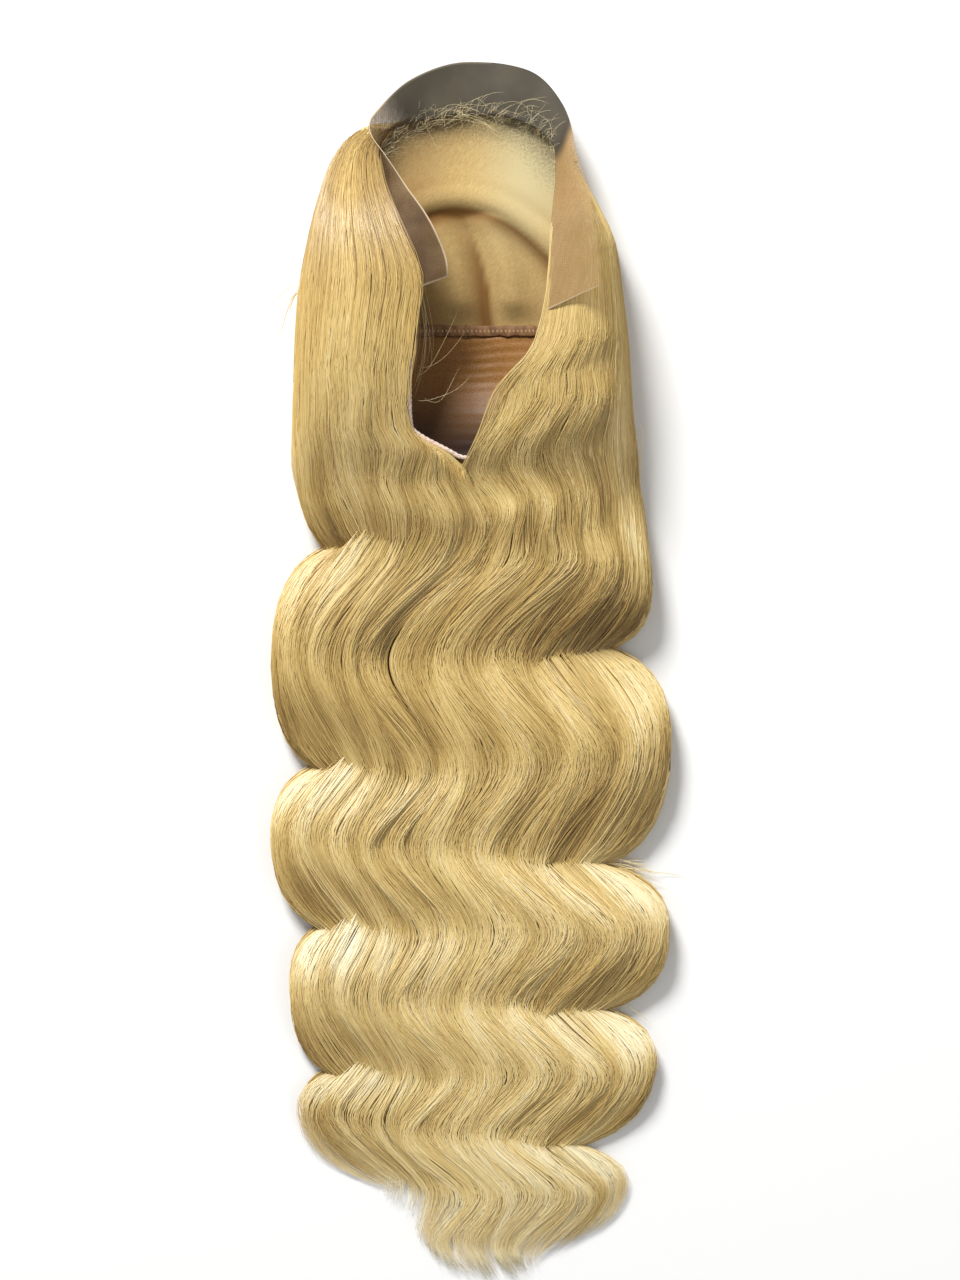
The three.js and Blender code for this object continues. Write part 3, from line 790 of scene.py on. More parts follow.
def seam_place(share_round, share_across):
    """A flat tape from rim to rim, with a rounded section and gathers."""
    across = (share_across * 2 - 1) * 0.9
    turn = 2 * np.pi * share_round
    gather = 0.25 * np.sin(share_across * 190) + 0.2 * np.sin(share_across * 301)
    y = SEAM_Y + (3.4 + gather) * np.cos(turn)
    height = 0.6 + 0.5 * np.sin(turn) * (1 + 0.4 * np.sin(share_across * 240))
    where = core_point(y, across) - core_normal(y, across) * (height + 2 * GAP)[:, None]
    return where, points(share_across * 230, share_round * 12, 0.0)


BINDING_TOP_Y = 203
BINDING_INSET = 0.7
BINDING_LIFT = 1.2


def binding_line():
    """The binding's middle: down the left rim, round the nape and up the right rim."""
    down = np.linspace(BINDING_TOP_Y, NAPE_Y + 1, 18)
    left = outside(down, inside_rim(down, -1, BINDING_INSET), BINDING_LIFT)
    right = outside(down[::-1], inside_rim(down[::-1], 1, BINDING_INSET), BINDING_LIFT)
    return np.concatenate([left, right])


def along_line(line, share):
    """Points at shares of a line's length, rounded at its corners, the directions there and the length."""
    for _ in range(3):
        cut = np.stack([mix(line[:-1], line[1:], quarter) for quarter in (0.25, 0.75)], axis=1)
        line = np.concatenate([line[:1], cut.reshape(-1, 3), line[-1:]])
    length = lengths_along(line)
    at = share * length[-1]
    slope = np.gradient(line, length, axis=0)
    return at_lengths(at, length, line), unit(at_lengths(at, length, slope)), length[-1]


def binding_place(share_round, share_along):
    centre, way, length = along_line(binding_line(), share_along)
    side = unit(np.cross(way, UP))
    up = np.cross(side, way)
    turn = 2 * np.pi * share_round
    twill = 1 + 0.12 * np.sin(share_along * length * 1.9 + 2 * turn)
    where = centre + side * (1.4 * np.cos(turn) * twill)[:, None] + up * (1.1 * np.sin(turn) * twill)[:, None]
    return where, points(share_round * 9, share_along * length, 0.0)


# The bare lace border: how far its free edge stands from the rim at shares of the way from left to right,
# and how far it is lifted off the rim.
BORDER = curves(
    "share out_x out_y out_z lift",
    [
        (0, 17, 7, -5, 0),
        (0.1, 17, 4, 2, 0),
        (0.2, 11, 2, 8, 0),
        (0.27, 2, 3, 14, 0),
        (0.34, -12, 8, 11, 0.5),
        (0.41, -12, 22, 2, 0.5),
        (0.5, -4, 32, -8, 0),
        (0.58, 7, 30, -8, 0.3),
        (0.66, 8, 20, -2, 0.9),
        (0.72, 12, 9, 8, 1.9),
        (0.8, 22, 2, 13, 1.9),
        (0.92, 28, 2, 13, 1.9),
        (1, 32, 14, 11, 1.9),
    ],
)
BORDER_LEFT_Y = 230
BORDER_RIGHT_Y = 216
BORDER_MIDDLE = 0.53  # share of the border's length where the left half meets the right
LACE = 0.4  # thickness as drawn
FRONT_CLOSENESS = 0.92
LEFT_CLOSENESS = 0.46
RIGHT_CLOSENESS = (0.5, 0.1)  # near the rim and at the free edge


def rim_line():
    """The cap's front edge from the left temple to the right one, with the outward directions along it."""
    left_y = np.linspace(BORDER_LEFT_Y, HAIRLINE_Y - 0.5, 60)
    right_y = np.linspace(HAIRLINE_Y - 0.5, BORDER_RIGHT_Y, 66)
    y = np.concatenate([left_y, np.full(3, HAIRLINE_Y), right_y])
    across = np.concatenate([np.full(60, -1.0), [-0.5, 0, 0.5], np.full(66, 1.0)])
    line, normal = core_point(y, across), core_normal(y, across)
    length = lengths_along(line)
    even = np.linspace(0, length[-1], 160)
    rows = [softened(np.interp(even, length, column), 4) for column in (*line.T, *normal.T)]
    return np.stack(rows[:3], -1), unit(np.stack(rows[3:], -1))


def lace_place(share_across, share_along):
    """The border starts a little inside the rim, where it lies on the crown."""
    rim, normal = rim_line()
    length = lengths_along(rim)
    reach = share_along * length[-1]
    base = at_lengths(reach, length, rim)
    base += at_lengths(reach, length, normal) * BORDER.lift(share_along)[:, None]
    front = 1 - smoothstep(np.abs(share_along - BORDER_MIDDLE), 0.13, 0.2)
    out = points(BORDER.out_x(share_along), BORDER.out_y(share_along), BORDER.out_z(share_along))
    width = np.linalg.norm(out, axis=1)
    share = mix(-0.06, 1, share_across)
    rise = np.where(out[:, 2] > 0, np.sin(np.pi / 2 * share), share)
    where = base + points(out[:, 0] * share, out[:, 1] * share, out[:, 2] * rise)
    where[:, 2] += 0.6
    ripple = np.sin(share_along * 60 + 2 * np.sin(share_along * 17)) * 0.8 * np.clip(share, 0, 1)
    where[:, 2] += ripple * smoothstep(np.abs(share_along - 0.5), 0.16, 0.3)
    right = share_along > BORDER_MIDDLE
    to_end = np.where(right, 1 - share_along, share_along) * length[-1]
    cut = np.where(right, to_end, np.minimum(to_end, (1 - share) * width))
    flap = np.where(right, mix(*RIGHT_CLOSENESS, smoothstep(share, 0.3, 1.0)), LEFT_CLOSENESS)
    return where, points(reach, cut, mix(flap, FRONT_CLOSENESS, front))


crown = add_sheet("crown_lace", 126, 108, crown_place, "crown", "crown_lace", "crown_panel")
weft = add_sheet("weft_net", 64, 64, weft_place, "weft", "weft_net", "weft_panel")
lace = add_sheet("bare_lace", 20, 220, lace_place, "lace", "bare_lace", "lace_border")
add_sheet("seam_tape", 10, 240, seam_place, "seam", "seam_tape", "panel_seam", wrapped=True)
add_sheet("nape_tape", 10, 280, binding_place, "binding", "binding_tape", "nape_binding", wrapped=True)
thicken(crown, CLOTH, 1)
thicken(weft, CLOTH, 1)
thicken(lace, LACE, 0)


# Hair bodies

BODY_SINK = 1.2  # below the strands that cover it
BODY_SHORTER = 44  # than the longest strands
BODY_RIDGES = 13
GAP_Y = (34, 6, -50, -86)  # where the parting gapes: it opens, is open, and closes again
BODY_GAPE = 3.2  # how far the bodies sink at the parting
TOP_PART, WALL_PART = 0.72, 0.9  # shares round a fall's section where its top ends and its wall ends
BACK_END_Y = -335
BACK_TOP_PART = 0.8  # share round the back fall's section where its top ends and its sole starts
FLANK_PART = 0.15  # share of that top which lies beyond the cap, on each side
SOLE_FLAT = 0.8  # share of the sole that lies on the floor


def parting_gap(y):
    """How open the parting is along the hair, from 0 to 1."""
    opens, is_open, closes, closed = GAP_Y
    return smoothstep(-y, -opens, -is_open) * (1 - smoothstep(-y, -closes, -closed))


def side_body(side, top_y):
    """A side fall: its top in locks, its wall along the cap, and its underside out to the outline."""

    def place(share_round, share_along):
        y = mix(top_y, TIP_Y, share_along)
        share = np.clip(share_round / TOP_PART, 0, 1)
        inward = share**1.6
        top = fall_top(side, y, inward)
        lock = np.abs(np.sin(np.pi * BODY_RIDGES * share))
        rim = smoothstep(inward, 0.0, 0.1) * (1 - smoothstep(inward, 0.93, 1.0))
        sink = BODY_SINK + HAIR.valley(y) * 0.5 * (1 - lock)
        top[:, 2] -= sink * rim * np.clip(HAIR.edge(y) / 8, 0.1, 1)
        top[:, 2] -= BODY_GAPE * parting_gap(y) * smoothstep(inward, 0.8, 1.0)
        wall_share = np.clip((share_round - TOP_PART) / (WALL_PART - TOP_PART), 0, 1)
        wall = hair_bed(y, mix(hair_start(y, side), widest(y, side), wall_share))
        under_share = np.clip((share_round - WALL_PART) / (1 - WALL_PART), 0, 1)
        under = mix(hair_bed(y, widest(y, side)), outline(y, side), under_share[:, None])
        on_top, on_wall = (share_round <= TOP_PART)[:, None], (share_round < WALL_PART)[:, None]
        where = np.where(on_top, top, np.where(on_wall, wall, under))
        return lay(where, BODY_SHORTER), points(share * 110, y, 0.0)

    return place


def back_body(share_round, share_along):
    """Flat on the floor, hollowed on top for the cap."""
    y = mix(BACK_TOP_Y, BACK_END_Y, share_along)
    share = np.clip(share_round / BACK_TOP_PART, 0, 1)
    left, right = outline(y, -1), outline(y, 1)
    left_bed, right_bed = hair_bed(y, widest(y, -1)), hair_bed(y, widest(y, 1))
    bed_share = np.clip((share - FLANK_PART) / (1 - 2 * FLANK_PART), 0, 1)
    top = hair_bed(y, mix(widest(y, -1), widest(y, 1), bed_share))
    left_flank, right_flank = (share / FLANK_PART)[:, None], ((1 - share) / FLANK_PART)[:, None]
    top = np.where(left_flank < 1, mix(left, left_bed, left_flank), top)
    top = np.where(right_flank < 1, mix(right, right_bed, right_flank), top)
    top[:, 2] -= GAP
    sole_share = np.clip((share_round - BACK_TOP_PART) / (1 - BACK_TOP_PART), 0, 1)
    round_end = np.abs(2 * sole_share - 1)
    turned_up = smoothstep(round_end, SOLE_FLAT, 1.0)
    drawn_in = HAIR.edge(y) * SOLE_TUCK * (1 - turned_up)
    x = mix(right[:, 0] - drawn_in, left[:, 0] + drawn_in, sole_share)
    z = HAIR.edge(y) * turned_up - GAP * smoothstep(round_end, 0.9, 1.0)
    sole = points(x, y, np.maximum(z, 0))
    on_sole = share_round > BACK_TOP_PART
    where = lay(np.where(on_sole[:, None], sole, top), BODY_SHORTER)
    where[:, 2] = np.where(on_sole & (round_end < SOLE_FLAT), 0, where[:, 2])
    return where, points(share_round * 300, y, 0.0)


for name, columns, place in (
    ("left", 64, side_body(-1, LEFT_TOP_Y)),
    ("right", 64, side_body(1, RIGHT_TOP_Y)),
    ("back", 60, back_body),
):
    add_sheet(f"hair_{name}_body", columns, 210, place, "body", "blonde_hair", f"hair_{name}", wrapped=True)


# Strands

DENSE_POINTS = 260  # along a strand while it is laid
STRAND_POINTS = 66  # along a strand as it is made
BEND_REACH = 45  # millimetres of length that a turn of one radian counts for
RIM_OVERHANG = 0.06  # how far past the hair's start strands lie over the cap's rim
STRAND_TOP_Y = {-1: 334, 1: 318}
ROOT_SPREAD = 70  # how far below that the last strands start
HOLD_Y = 105  # above it the strands run straight on, up to where they start
RIM_SHARE = {-1: 0.66, 1: 1.0}  # of each fall's width below the nape, how much runs past the cap
NAPE_EDGE = ((-38, 150), (-21, 138), (-4, 128))  # the nape's left edge in plan
PALE_SHARE = 0.1  # of the strands are much paler than the rest
STRAY_SHARE = 0.16  # of them wander over their neighbours
BROAD_LOCKS = 4  # across each fall
BROAD_RELIEF = 1.0
LOCK_SWAY_LENGTH = 210
STRAND_GAPE = 2.6  # how far strands sink at the parting
RIPPLE_LENGTH = 52  # of the small waves beside the nape
RIPPLES = {-1: (1.6, 0.6), 1: (3.6, 1.6)}  # how far they go sideways and up on each fall
NAPE_PAINTED_LIGHT_Y = 92  # painted light: the hair is paler where it comes down from the nape
NAPE_PAINTED_LIGHT = {-1: 0.15, 1: 0.08}
TOP_PAINTED_SHADE = {-1: 0.2, 1: 0}  # painted shade: how much deeper the hair is beside the crown
RISE_PAINTED_LIGHT = 0.36  # painted light: how much paler it is where it rises out of a hollow
DIP_SHADE = (0.4, 0.25)  # painted shade: how much deeper it is where it dips into one, at the outer edge and further in
FRONT_FROM_Y = {-1: 322, 1: 311}  # ahead of it the hair turns down round the front of the cap
FRONT_CENTRE = (0, 300, 0)
FLOOR_CLEARANCE = 0.8


def slow_noise(count, samples, turns):
    """Smooth random lines, about -1 to 1, with that many turns along them."""
    t = np.linspace(0, 1, samples)
    total = np.zeros((count, samples))
    for strength, rate in ((0.6, 1.0), (0.4, 1.9)):
        phase = chance.uniform(0, 2 * np.pi, (count, 1))
        speed = chance.uniform(0.7, 1.3, (count, 1)) * turns * rate
        total += strength * np.sin(2 * np.pi * speed * t + phase)
    return total


def drift(count, strength):
    """Random numbers in which neighbours differ little."""
    steps = chance.normal(0, strength, count + 4)
    return np.convolve(steps, (0.3, 0.5, 0.7, 0.5, 0.3), "valid")


def resampled(lines, count):
    """The same lines with fewer points, closer together where they bend."""
    step = np.diff(lines, axis=1)
    length = np.linalg.norm(step, axis=-1)
    turn = np.linalg.norm(np.diff(unit(step), axis=1), axis=-1)
    weight = length + BEND_REACH * np.pad(turn, ((0, 0), (1, 0)))
    reach = np.pad(np.cumsum(weight, axis=1), ((0, 0), (1, 0)))
    at = np.linspace(0, 1, count)
    return np.array(
        [
            np.stack([np.interp(at * far[-1], far, line[:, axis]) for axis in range(3)], axis=-1)
            for line, far in zip(lines, reach)
        ]
    )


def wave_light_and_shade(lines):
    """Painted light where hair rises out of a hollow, and painted shade where it dips into one."""
    step = np.gradient(lines, axis=1)
    rise = step[..., 2] / np.maximum(np.linalg.norm(step, axis=-1), 1e-6)
    rise = rise / np.clip(lines[..., 2] / LIFT_DEPTH, 0.3, 1)
    below = smoothstep(NAPE_Y - lines[..., 1], -10, 40)
    return np.tanh(rise / 0.35) * below


def broad_locks(side, y, own):
    """The broad locks of a fall, from -1 in the valleys between them to 1 on their tops."""
    sway = 0.35 * np.sin(2 * np.pi * y / LOCK_SWAY_LENGTH + side)
    return np.sin(2 * np.pi * (BROAD_LOCKS * own + sway))


def fall_tones(side, lines, own, tone):
    """The tones along a side fall's strands, from each strand's own: paler towards the tips, with painted
    light and shade on the broad locks, by the nape, beside the crown and along the waves.
    """
    along = lines[..., 1]
    locks = broad_locks(side, along, own[:, None])
    # painted light on the tops of the broad locks and painted shade in the valleys between them
    tone = tone[:, None] + 0.08 * locks * smoothstep(NAPE_Y + 90 - along, 0, 80)
    tone = tone + mix(-0.1, 0.12, smoothstep(-along, -40, 260)) + 0.3 * smoothstep(-along, 250, 360)
    tone = tone + NAPE_PAINTED_LIGHT[side] * np.exp(-(((along - NAPE_PAINTED_LIGHT_Y) / 30) ** 2))
    tone = tone - TOP_PAINTED_SHADE[side] * smoothstep(along, 170, 290)
    painted_band = wave_light_and_shade(lines)
    dip_shade = mix(*DIP_SHADE, smoothstep(own, 0.08, 0.6))[:, None]
    return np.clip(tone + np.where(painted_band > 0, RISE_PAINTED_LIGHT, dip_shade) * painted_band, 0, 1)


def fall_strands(side, count, clumps):
    """Lines of the strands on a side fall, their tones and their widths. Most run past the cap from the
    temple, and the rest start along the nape."""
    # Each strand belongs to a clump, and the clumps differ
    centres = (np.arange(clumps) + chance.uniform(0.2, 0.8, clumps)) / clumps
    reach = chance.uniform(0.8, 1.4, clumps) / clumps
    clump_early = drift(clumps, 2.0)
    clump_strength = 1 + drift(clumps, 0.1)
    clump_height = drift(clumps, 0.5)
    clump_tone = drift(clumps, 0.045)
    clump_phase = drift(clumps, 0.5)
    clump_shorter = chance.uniform(0, 10, clumps)
    of = np.arange(count) % clumps
    lateral = chance.uniform(-1, 1, count)
    depth = chance.uniform(0, 1, count) ** 1.4
    target = centres[of]

    # Where the strands start
    start_y = STRAND_TOP_Y[side] - ROOT_SPREAD * chance.uniform(0, 1, count) ** 2
    low_x = mix(outer_x(side, HOLD_Y), inner_x(side, HOLD_Y), target + lateral * reach[of])
    edge_x, edge_y = np.transpose(NAPE_EDGE)
    at_nape = target + lateral * reach[of] > RIM_SHARE[side]
    nape_y = np.interp(low_x, edge_x, edge_y) - chance.uniform(5, 9, count)
    start_y = np.where(at_nape, nape_y, start_y)
    y = mix(start_y[:, None], TIP_Y, np.linspace(0, 1, DENSE_POINTS))

    # Their places across the fall, from its outline (0) to its inner edge (1)
    pinch = 0.1 + 0.2 * (1 + slow_noise(clumps, DENSE_POINTS, 4))[of] / 2
    pinch = pinch + 0.15 * smoothstep(-y, 300, 377)
    stray = chance.uniform(0, 1, count) < STRAY_SHARE
    own = target[:, None] + (lateral * reach[of])[:, None] * (1 - pinch)
    own = np.abs(own + np.where(stray, 0.03, 0.008)[:, None] * slow_noise(count, DENSE_POINTS, 3))
    own = 1 - np.abs(1 - own)
    gape = parting_gap(y)
    near_parting = smoothstep(own, 0.85, 1.0) * smoothstep(NAPE_Y - y, 0, 20)
    held = np.minimum(y, HOLD_Y)
    low_x = mix(outer_x(side, held), inner_x(side, held), own)
    overhang = RIM_OVERHANG * (1.8 if side > 0 else mix(0.2, 1, smoothstep(y, 158, 170)))
    overhang = overhang * chance.uniform(0.3, 1.5, count)[:, None]
    cap_share = np.clip(own / RIM_SHARE[side], 0, 1) * (1 + overhang)
    cap_x = mix(outer_x(side, y), inner_x(side, y), cap_share)
    x = mix(low_x, cap_x, smoothstep(y, HOLD_Y, HOLD_Y + 60))
    inward = (x - outer_x(side, y)) / (inner_x(side, y) - outer_x(side, y))

    # Their heights: clumps and broad locks stand up, and strays lie over them
    z = top_height(side, y, inward)
    thick = np.clip(HAIR.edge(y) / 9, 0.12, 1)
    rounded = 0.5 * (1 - lateral[:, None] ** 2)
    relief = clump_height[of][:, None] + rounded - 0.5 * depth[:, None]
    relief = relief + 0.15 * slow_noise(count, DENSE_POINTS, 5)
    relief = relief + 0.3 * slow_noise(clumps, DENSE_POINTS, 3)[of]
    relief = relief + BROAD_RELIEF * broad_locks(side, y, own) * smoothstep(NAPE_Y + 40 - y, 0, 80)
    relief = relief + 0.8 * stray[:, None]
    relief = relief * mix(0.35, 1, smoothstep(inward, 0, 0.15)) * thick
    relief = relief * mix(0.55, 1, smoothstep(190 - y, 0, 80))
    z = z + relief + 0.7 - STRAND_GAPE * near_parting * gape

    # Small waves beside the nape, and strands that cross the parting
    x = x + 0.5 * slow_noise(count, DENSE_POINTS, 6) * smoothstep(NAPE_Y + 60 - y, 0, 100)
    turn = 2 * np.pi * y / RIPPLE_LENGTH + 2.5 * own + clump_phase[of][:, None]
    rippled = smoothstep(215 - y, 0, 40) * smoothstep(y, 40, 90) * smoothstep(inward, 0.05, 0.35)
    sideways, up = RIPPLES[side]
    x = x + sideways * np.sin(turn) * rippled
    z = z + up * np.sin(turn + 1.2) * rippled
    crossing = smoothstep(HOLD_Y - y, 0, 40) * mix(1, 2.2, smoothstep(-y, 90, 170)) * (1 - 0.4 * gape)
    x = x - side * crossing * near_parting * (3.5 * chance.uniform(-0.2, 1, count))[:, None]

    # The body waves, which differ a little from strand to strand, and most at the tips
    calm = smoothstep(inward, 0.0, 0.2)
    early = clump_early[of] + chance.normal(0, 1, count) * np.where(stray, 2.0, 0.5)
    early = early[:, None] * mix(0.35, 1, calm)
    own_strength = (clump_strength[of] * chance.normal(1, 0.025, count))[:, None]
    strength = mix(1, own_strength, mix(0.4, 1, calm))
    shorter = (clump_shorter[of] + chance.exponential(7, count) - 3)[:, None]
    x = x + 3 * slow_noise(count, DENSE_POINTS, 4) * smoothstep(-y, 290, 377)
    lines = resampled(lay(points(x, y, z), shorter, early, strength), STRAND_POINTS)

    # Each strand's own tone and width
    # strands that lie deeper get a painted shade
    tone = 0.48 + clump_tone[of] + chance.normal(0, 0.06, count) - 0.07 * depth
    pale = chance.uniform(0, 1, count) < PALE_SHARE
    tones = fall_tones(side, lines, own.mean(1), tone + 0.2 * pale)
    width = np.where(pale, 0.6, 1.0) * chance.uniform(0.7, 1.3, count)
    return lines, tones, width


def edge_strands(side, count):
    """Lines round the outer edge of the back fall, from the outline down to the floor."""
    turn = (np.arange(count) + chance.uniform(0, 1, count)) / count
    start_y = BACK_TOP_Y - 2 - chance.uniform(0, 18, count)
    y = mix(start_y[:, None], TIP_Y, np.linspace(0, 1, DENSE_POINTS))
    edge = HAIR.edge(y)
    wander = np.clip(turn[:, None] + 0.05 * slow_noise(count, DENSE_POINTS, 3), 0, 1)
    angle = wander * np.pi / 2
    x = outer_x(side, y) - side * edge * SOLE_TUCK * (1 - np.cos(angle))
    z = edge * (1 - np.sin(angle)) + 0.5
    shorter = 25 + chance.exponential(15, count)[:, None]
    lines = lay(points(x, y, z), shorter, chance.normal(0, 1.2, count)[:, None])
    lines[..., 2] = np.minimum(lines[..., 2], z + 4)
    tone = np.clip(chance.normal(0.42, 0.08, count), 0, 1)
    return resampled(lines, STRAND_POINTS), np.repeat(tone[:, None], STRAND_POINTS, 1)


def front_strands(count):
    """Lines that turn down from the hairline, round the front of the cap, to lie under it."""
    rim, _ = rim_line()
    front = rim[rim[:, 1] > np.where(rim[:, 0] < 0, FRONT_FROM_Y[-1], FRONT_FROM_Y[1])]
    length = lengths_along(front)
    at = (np.arange(count) + chance.uniform(0, 1, count)) / count * length[-1]
    root = at_lengths(at, length, front)
    away = unit((root - np.array(FRONT_CENTRE)) * (1 - UP))
    turn = np.linspace(0.5 * np.pi, -0.5 * np.pi, 9)
    edge_x = np.where(root[:, 0] < 0, HAIR.outer_left(root[:, 1]), HAIR.outer_right(root[:, 1]))
    to_side = (edge_x - root[:, 0]) / away[:, 0]
    to_front = (BACK_TOP_Y - root[:, 1]) / away[:, 1]
    deep = np.clip(np.minimum(to_side, to_front), 3, 13) + chance.uniform(0.5, 2.5, count)
    out = deep[:, None] * np.cos(turn)
    half = root[:, 2] / 2 - 1.2
    height = (half + FLOOR_CLEARANCE)[:, None] + half[:, None] * np.sin(turn)
    tail = np.broadcast_to((-8, -18, -30), (count, 3))
    out = np.concatenate([out, tail], axis=1)
    height = np.concatenate([height, np.full(tail.shape, FLOOR_CLEARANCE)], axis=1)
    lines = root[:, None] * (1 - UP) + away[:, None] * out[..., None]
    lines[..., 2] = height
    lines[..., 0] += slow_noise(count, lines.shape[1], 1) * 1.2
    tone = np.clip(chance.normal(0.42, 0.1, count), 0, 1)
    return lines, np.repeat(tone[:, None], lines.shape[1], 1)


def free_strands(starts, ways, bends, samples=20):
    """Lines of free hairs: each leaves its start in one direction and bends towards another."""
    t = np.linspace(0, 1, samples)[:, None]
    lines = starts[:, None] + ways[:, None] * t + bends[:, None] * t**2
    wander = np.stack([slow_noise(len(starts), samples, 0.5) for _ in range(3)], -1)
    lines = lines + wander * t * 0.06 * np.linalg.norm(ways, axis=1)[:, None, None]
    lines[..., 2] = np.maximum(lines[..., 2], 0.4)
    return lines, np.clip(chance.normal(0.72, 0.08, (len(starts), 1)) + np.zeros(samples), 0, 1)


def scatter(count, middle, spread):
    return np.array(middle, float) + chance.normal(0, 1, (count, 3)) * np.array(spread, float)


def hairline_hairs(count, front, starts, ways, lengths, bends, samples):
    """Free hairs from random places of the hairline. Starts, ways and bends are middles and spreads."""
    roots = front[chance.integers(0, len(front), count)] + scatter(count, *starts)
    leaving = scatter(count, *ways) * chance.uniform(*lengths, (count, 1))
    return free_strands(roots, leaving, scatter(count, *bends), samples)


def baby_hairs(count):
    """Fine hairs that curl from the hairline over the front lace."""
    rim, _ = rim_line()
    front = rim[(rim[:, 1] > 322) & (rim[:, 0] > -30)]
    starts = (0, -2, 1.5), (1.5, 2, 0.4)
    ways = (6, 24, 2), (10, 6, 1)
    bends = (14, -16, -3), (10, 6, 1.5)
    return hairline_hairs(count, front, starts, ways, (0.4, 1.2), bends, 20)


def hairline_fuzz(count):
    """Short hairs that stand out of the crown along the hairline."""
    rim, _ = rim_line()
    front = rim[rim[:, 1] > 318]
    starts = (0, -5, 1.2), (1.5, 4, 0.3)
    ways = (2, 6, 1), (3, 2.5, 0.6)
    bends = (2, -1, -1), (2, 2, 0.5)
    return hairline_hairs(count, front, starts, ways, (0.5, 1.3), bends, 6)


def inner_hairs():
    """Stray hairs inside the cap: a thin lock at the left rim, and single ones over the nape panel."""
    starts = scatter(12, (-33, 238, 67), (1, 3, 1)), scatter(4, (-31, 172, 60), (2, 7, 3))
    ways = scatter(12, (20, -56, -14), (2.5, 5, 3)), scatter(4, (26, -8, -6), (6, 6, 3))
    bends = scatter(12, (-22, -6, -8), (3, 4, 3)), scatter(4, (12, 24, 6), (5, 8, 3))
    return free_strands(np.concatenate(starts), np.concatenate(ways), np.concatenate(bends))


def edge_wisps():
    """Tufts that stick out of the right edge and of the left temple: how many hairs, start, way and bend."""
    wisps = [
        (44, (80, -124, 6), (33, -3, 3), (4, -9, -5)),
        (10, (84, -216, 5), (24, -8, 2), (2, -9, -4)),
        (8, (100, 150, 16), (16, -34, 2), (-6, -14, -6)),
        (6, (-104, 236, 16), (-13, -4, 2), (-2, -12, -4)),
    ]
    made = []
    for count, start, way, bend in wisps:
        starts = scatter(count, start, (3, 3, 1.5))
        ways = scatter(count, way, (4, 4, 1)) * chance.uniform(0.5, 1.0, (count, 1))
        made.append(free_strands(starts, ways, scatter(count, bend, (2, 4, 1))))
    return [np.concatenate(parts) for parts in zip(*made)]


def add_strands(name, lines, tone, widths, tip=0.2):
    """Adds strands that are full from near the root to near the end, then fine."""
    t = np.linspace(0, 1, lines.shape[1])
    taper = mix(1, tip, smoothstep(t, 0.86, 1.0)) * mix(0.5, 1, smoothstep(t, 0, 0.06))
    widths = np.broadcast_to(widths, len(lines))[:, None] * taper
    return add_piece(name, strand_mesh(name, lines, widths, tone), "strands", "blonde_hair")


STRAND_WIDTH = 0.5
EDGE_WIDTH = 0.9
FRONT_WIDTH = 0.8
FINE_WIDTH = 0.1
FUZZ_WIDTH = 0.06
WISP_WIDTH = 0.35
for side, name, count, clumps in ((-1, "left", 790, 26), (1, "right", 1010, 36)):
    lines, tone, width = fall_strands(side, count, clumps)
    for number in range(3):
        third = slice(number, None, 3)
        piece_name = f"hair_{name}_strands_{number + 1}"
        add_strands(piece_name, lines[third], tone[third], STRAND_WIDTH * width[third])
edge_lines = [edge_strands(side, 70) for side in (-1, 1)]
add_strands(
    "hair_edge_strands",
    np.concatenate([lines for lines, _ in edge_lines]),
    np.concatenate([tone for _, tone in edge_lines]),
    EDGE_WIDTH,
)
add_strands("hairline_strands", *front_strands(420), FRONT_WIDTH, tip=0.8)
add_strands("baby_hairs", *baby_hairs(60), FINE_WIDTH)
add_strands("hairline_fuzz", *hairline_fuzz(320), FUZZ_WIDTH)
add_strands("inner_hairs", *inner_hairs(), FINE_WIDTH)
add_strands("edge_wisps", *edge_wisps(), WISP_WIDTH)


# Floor, light and camera

PIXEL = 0.62  # of the picture's frame, in millimetres
FRAME_WIDTH, FRAME_HEIGHT = 960, 1280
ORIGIN_PIXEL = (470, 667)  # where the origin falls in the frame
CAMERA_HEIGHT = 2600
AIM_HEIGHT = 25


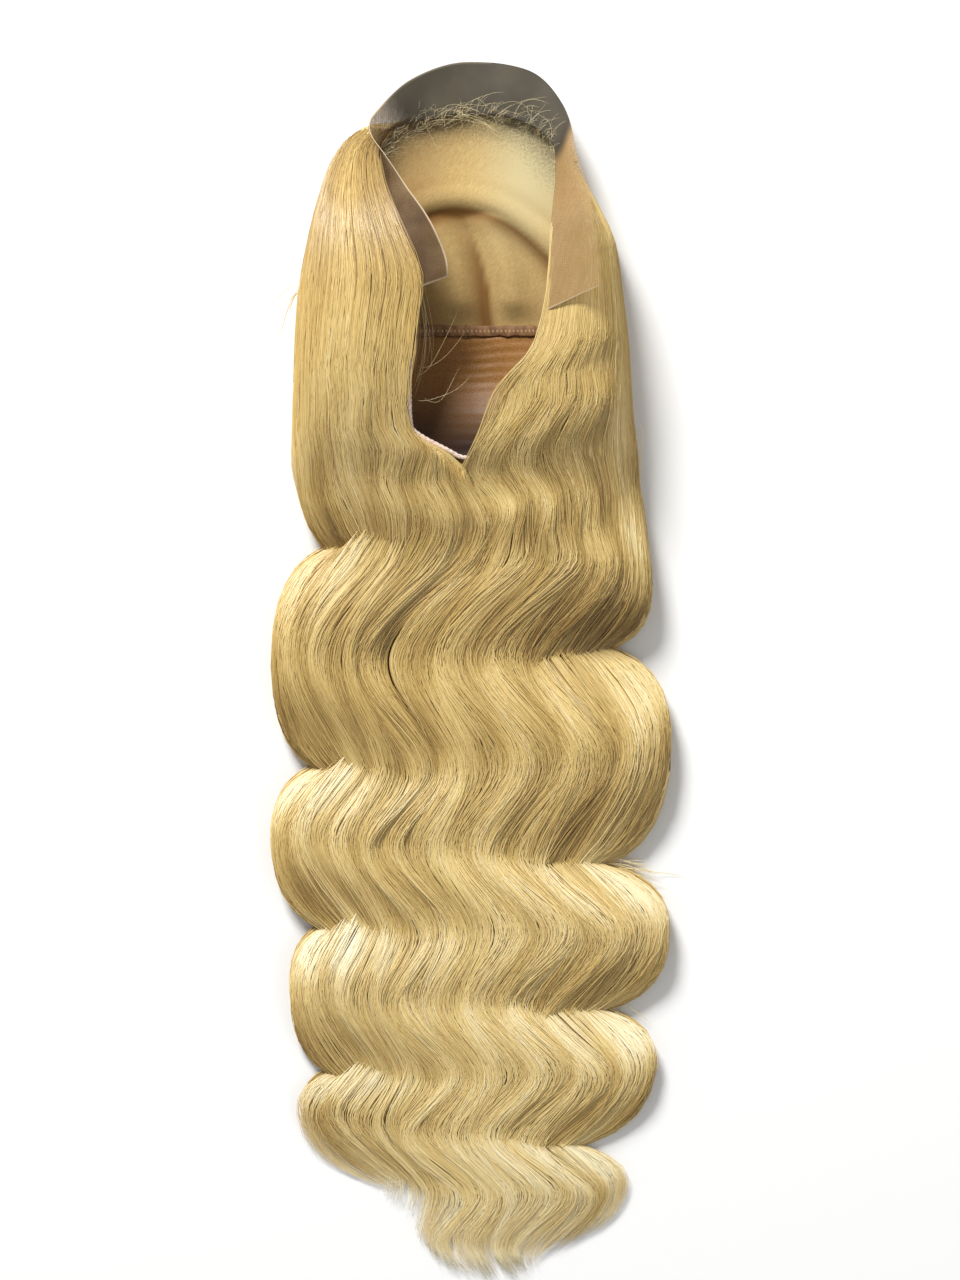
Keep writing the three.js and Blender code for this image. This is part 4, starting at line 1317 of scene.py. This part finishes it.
def pale_floor():
    bm = bmesh.new()
    bmesh.ops.create_grid(bm, x_segments=1, y_segments=1, size=6)
    mesh = bpy.data.meshes.new("floor")
    bm.to_mesh(mesh)
    bm.free()
    material = bpy.data.materials.new("pale floor")
    material.use_nodes = True
    shader = material.node_tree.nodes["Principled BSDF"]
    shader.inputs["Base Color"].default_value = (0.92, 0.92, 0.91, 1)
    shader.inputs["Roughness"].default_value = 0.9
    mesh.materials.append(material)
    floor = bpy.data.objects.new("floor", mesh)
    bpy.context.scene.collection.objects.link(floor)
    floor.location.z = -0.0005


def soft_light(name, place, aim, size, power):
    lamp = bpy.data.lights.new(name, "AREA")
    lamp.shape = "DISK"
    lamp.size = size
    lamp.energy = power
    light = bpy.data.objects.new(name, lamp)
    light.location = place
    way = Vector(aim) - Vector(place)
    light.rotation_euler = way.to_track_quat("-Z", "Y").to_euler()
    bpy.context.scene.collection.objects.link(light)


def sky(strength):
    world = bpy.data.worlds.new("soft sky")
    world.use_nodes = True
    background = world.node_tree.nodes["Background"]
    background.inputs["Color"].default_value = (1, 1, 1, 1)
    background.inputs["Strength"].default_value = strength
    bpy.context.scene.world = world


def overhead_camera():
    lens = bpy.data.cameras.new("camera")
    camera = bpy.data.objects.new("camera", lens)
    centre_x = (FRAME_WIDTH / 2 - ORIGIN_PIXEL[0]) * PIXEL
    centre_y = (ORIGIN_PIXEL[1] - FRAME_HEIGHT / 2) * PIXEL
    camera.location = (centre_x * MM, centre_y * MM, CAMERA_HEIGHT * MM)
    lens.lens = lens.sensor_width * (CAMERA_HEIGHT - AIM_HEIGHT) / (FRAME_HEIGHT * PIXEL)
    lens.clip_end = 50
    bpy.context.scene.collection.objects.link(camera)
    bpy.context.scene.camera = camera


pale_floor()
soft_light("key", (-1.2, 2.9, 2.3), (0, 0.05, 0), 1.3, 195)
soft_light("fill", (1.4, -1.0, 1.8), (0, 0, 0), 1.6, 6)
sky(0.4)
overhead_camera()
bpy.context.scene.view_settings.view_transform = "Standard"
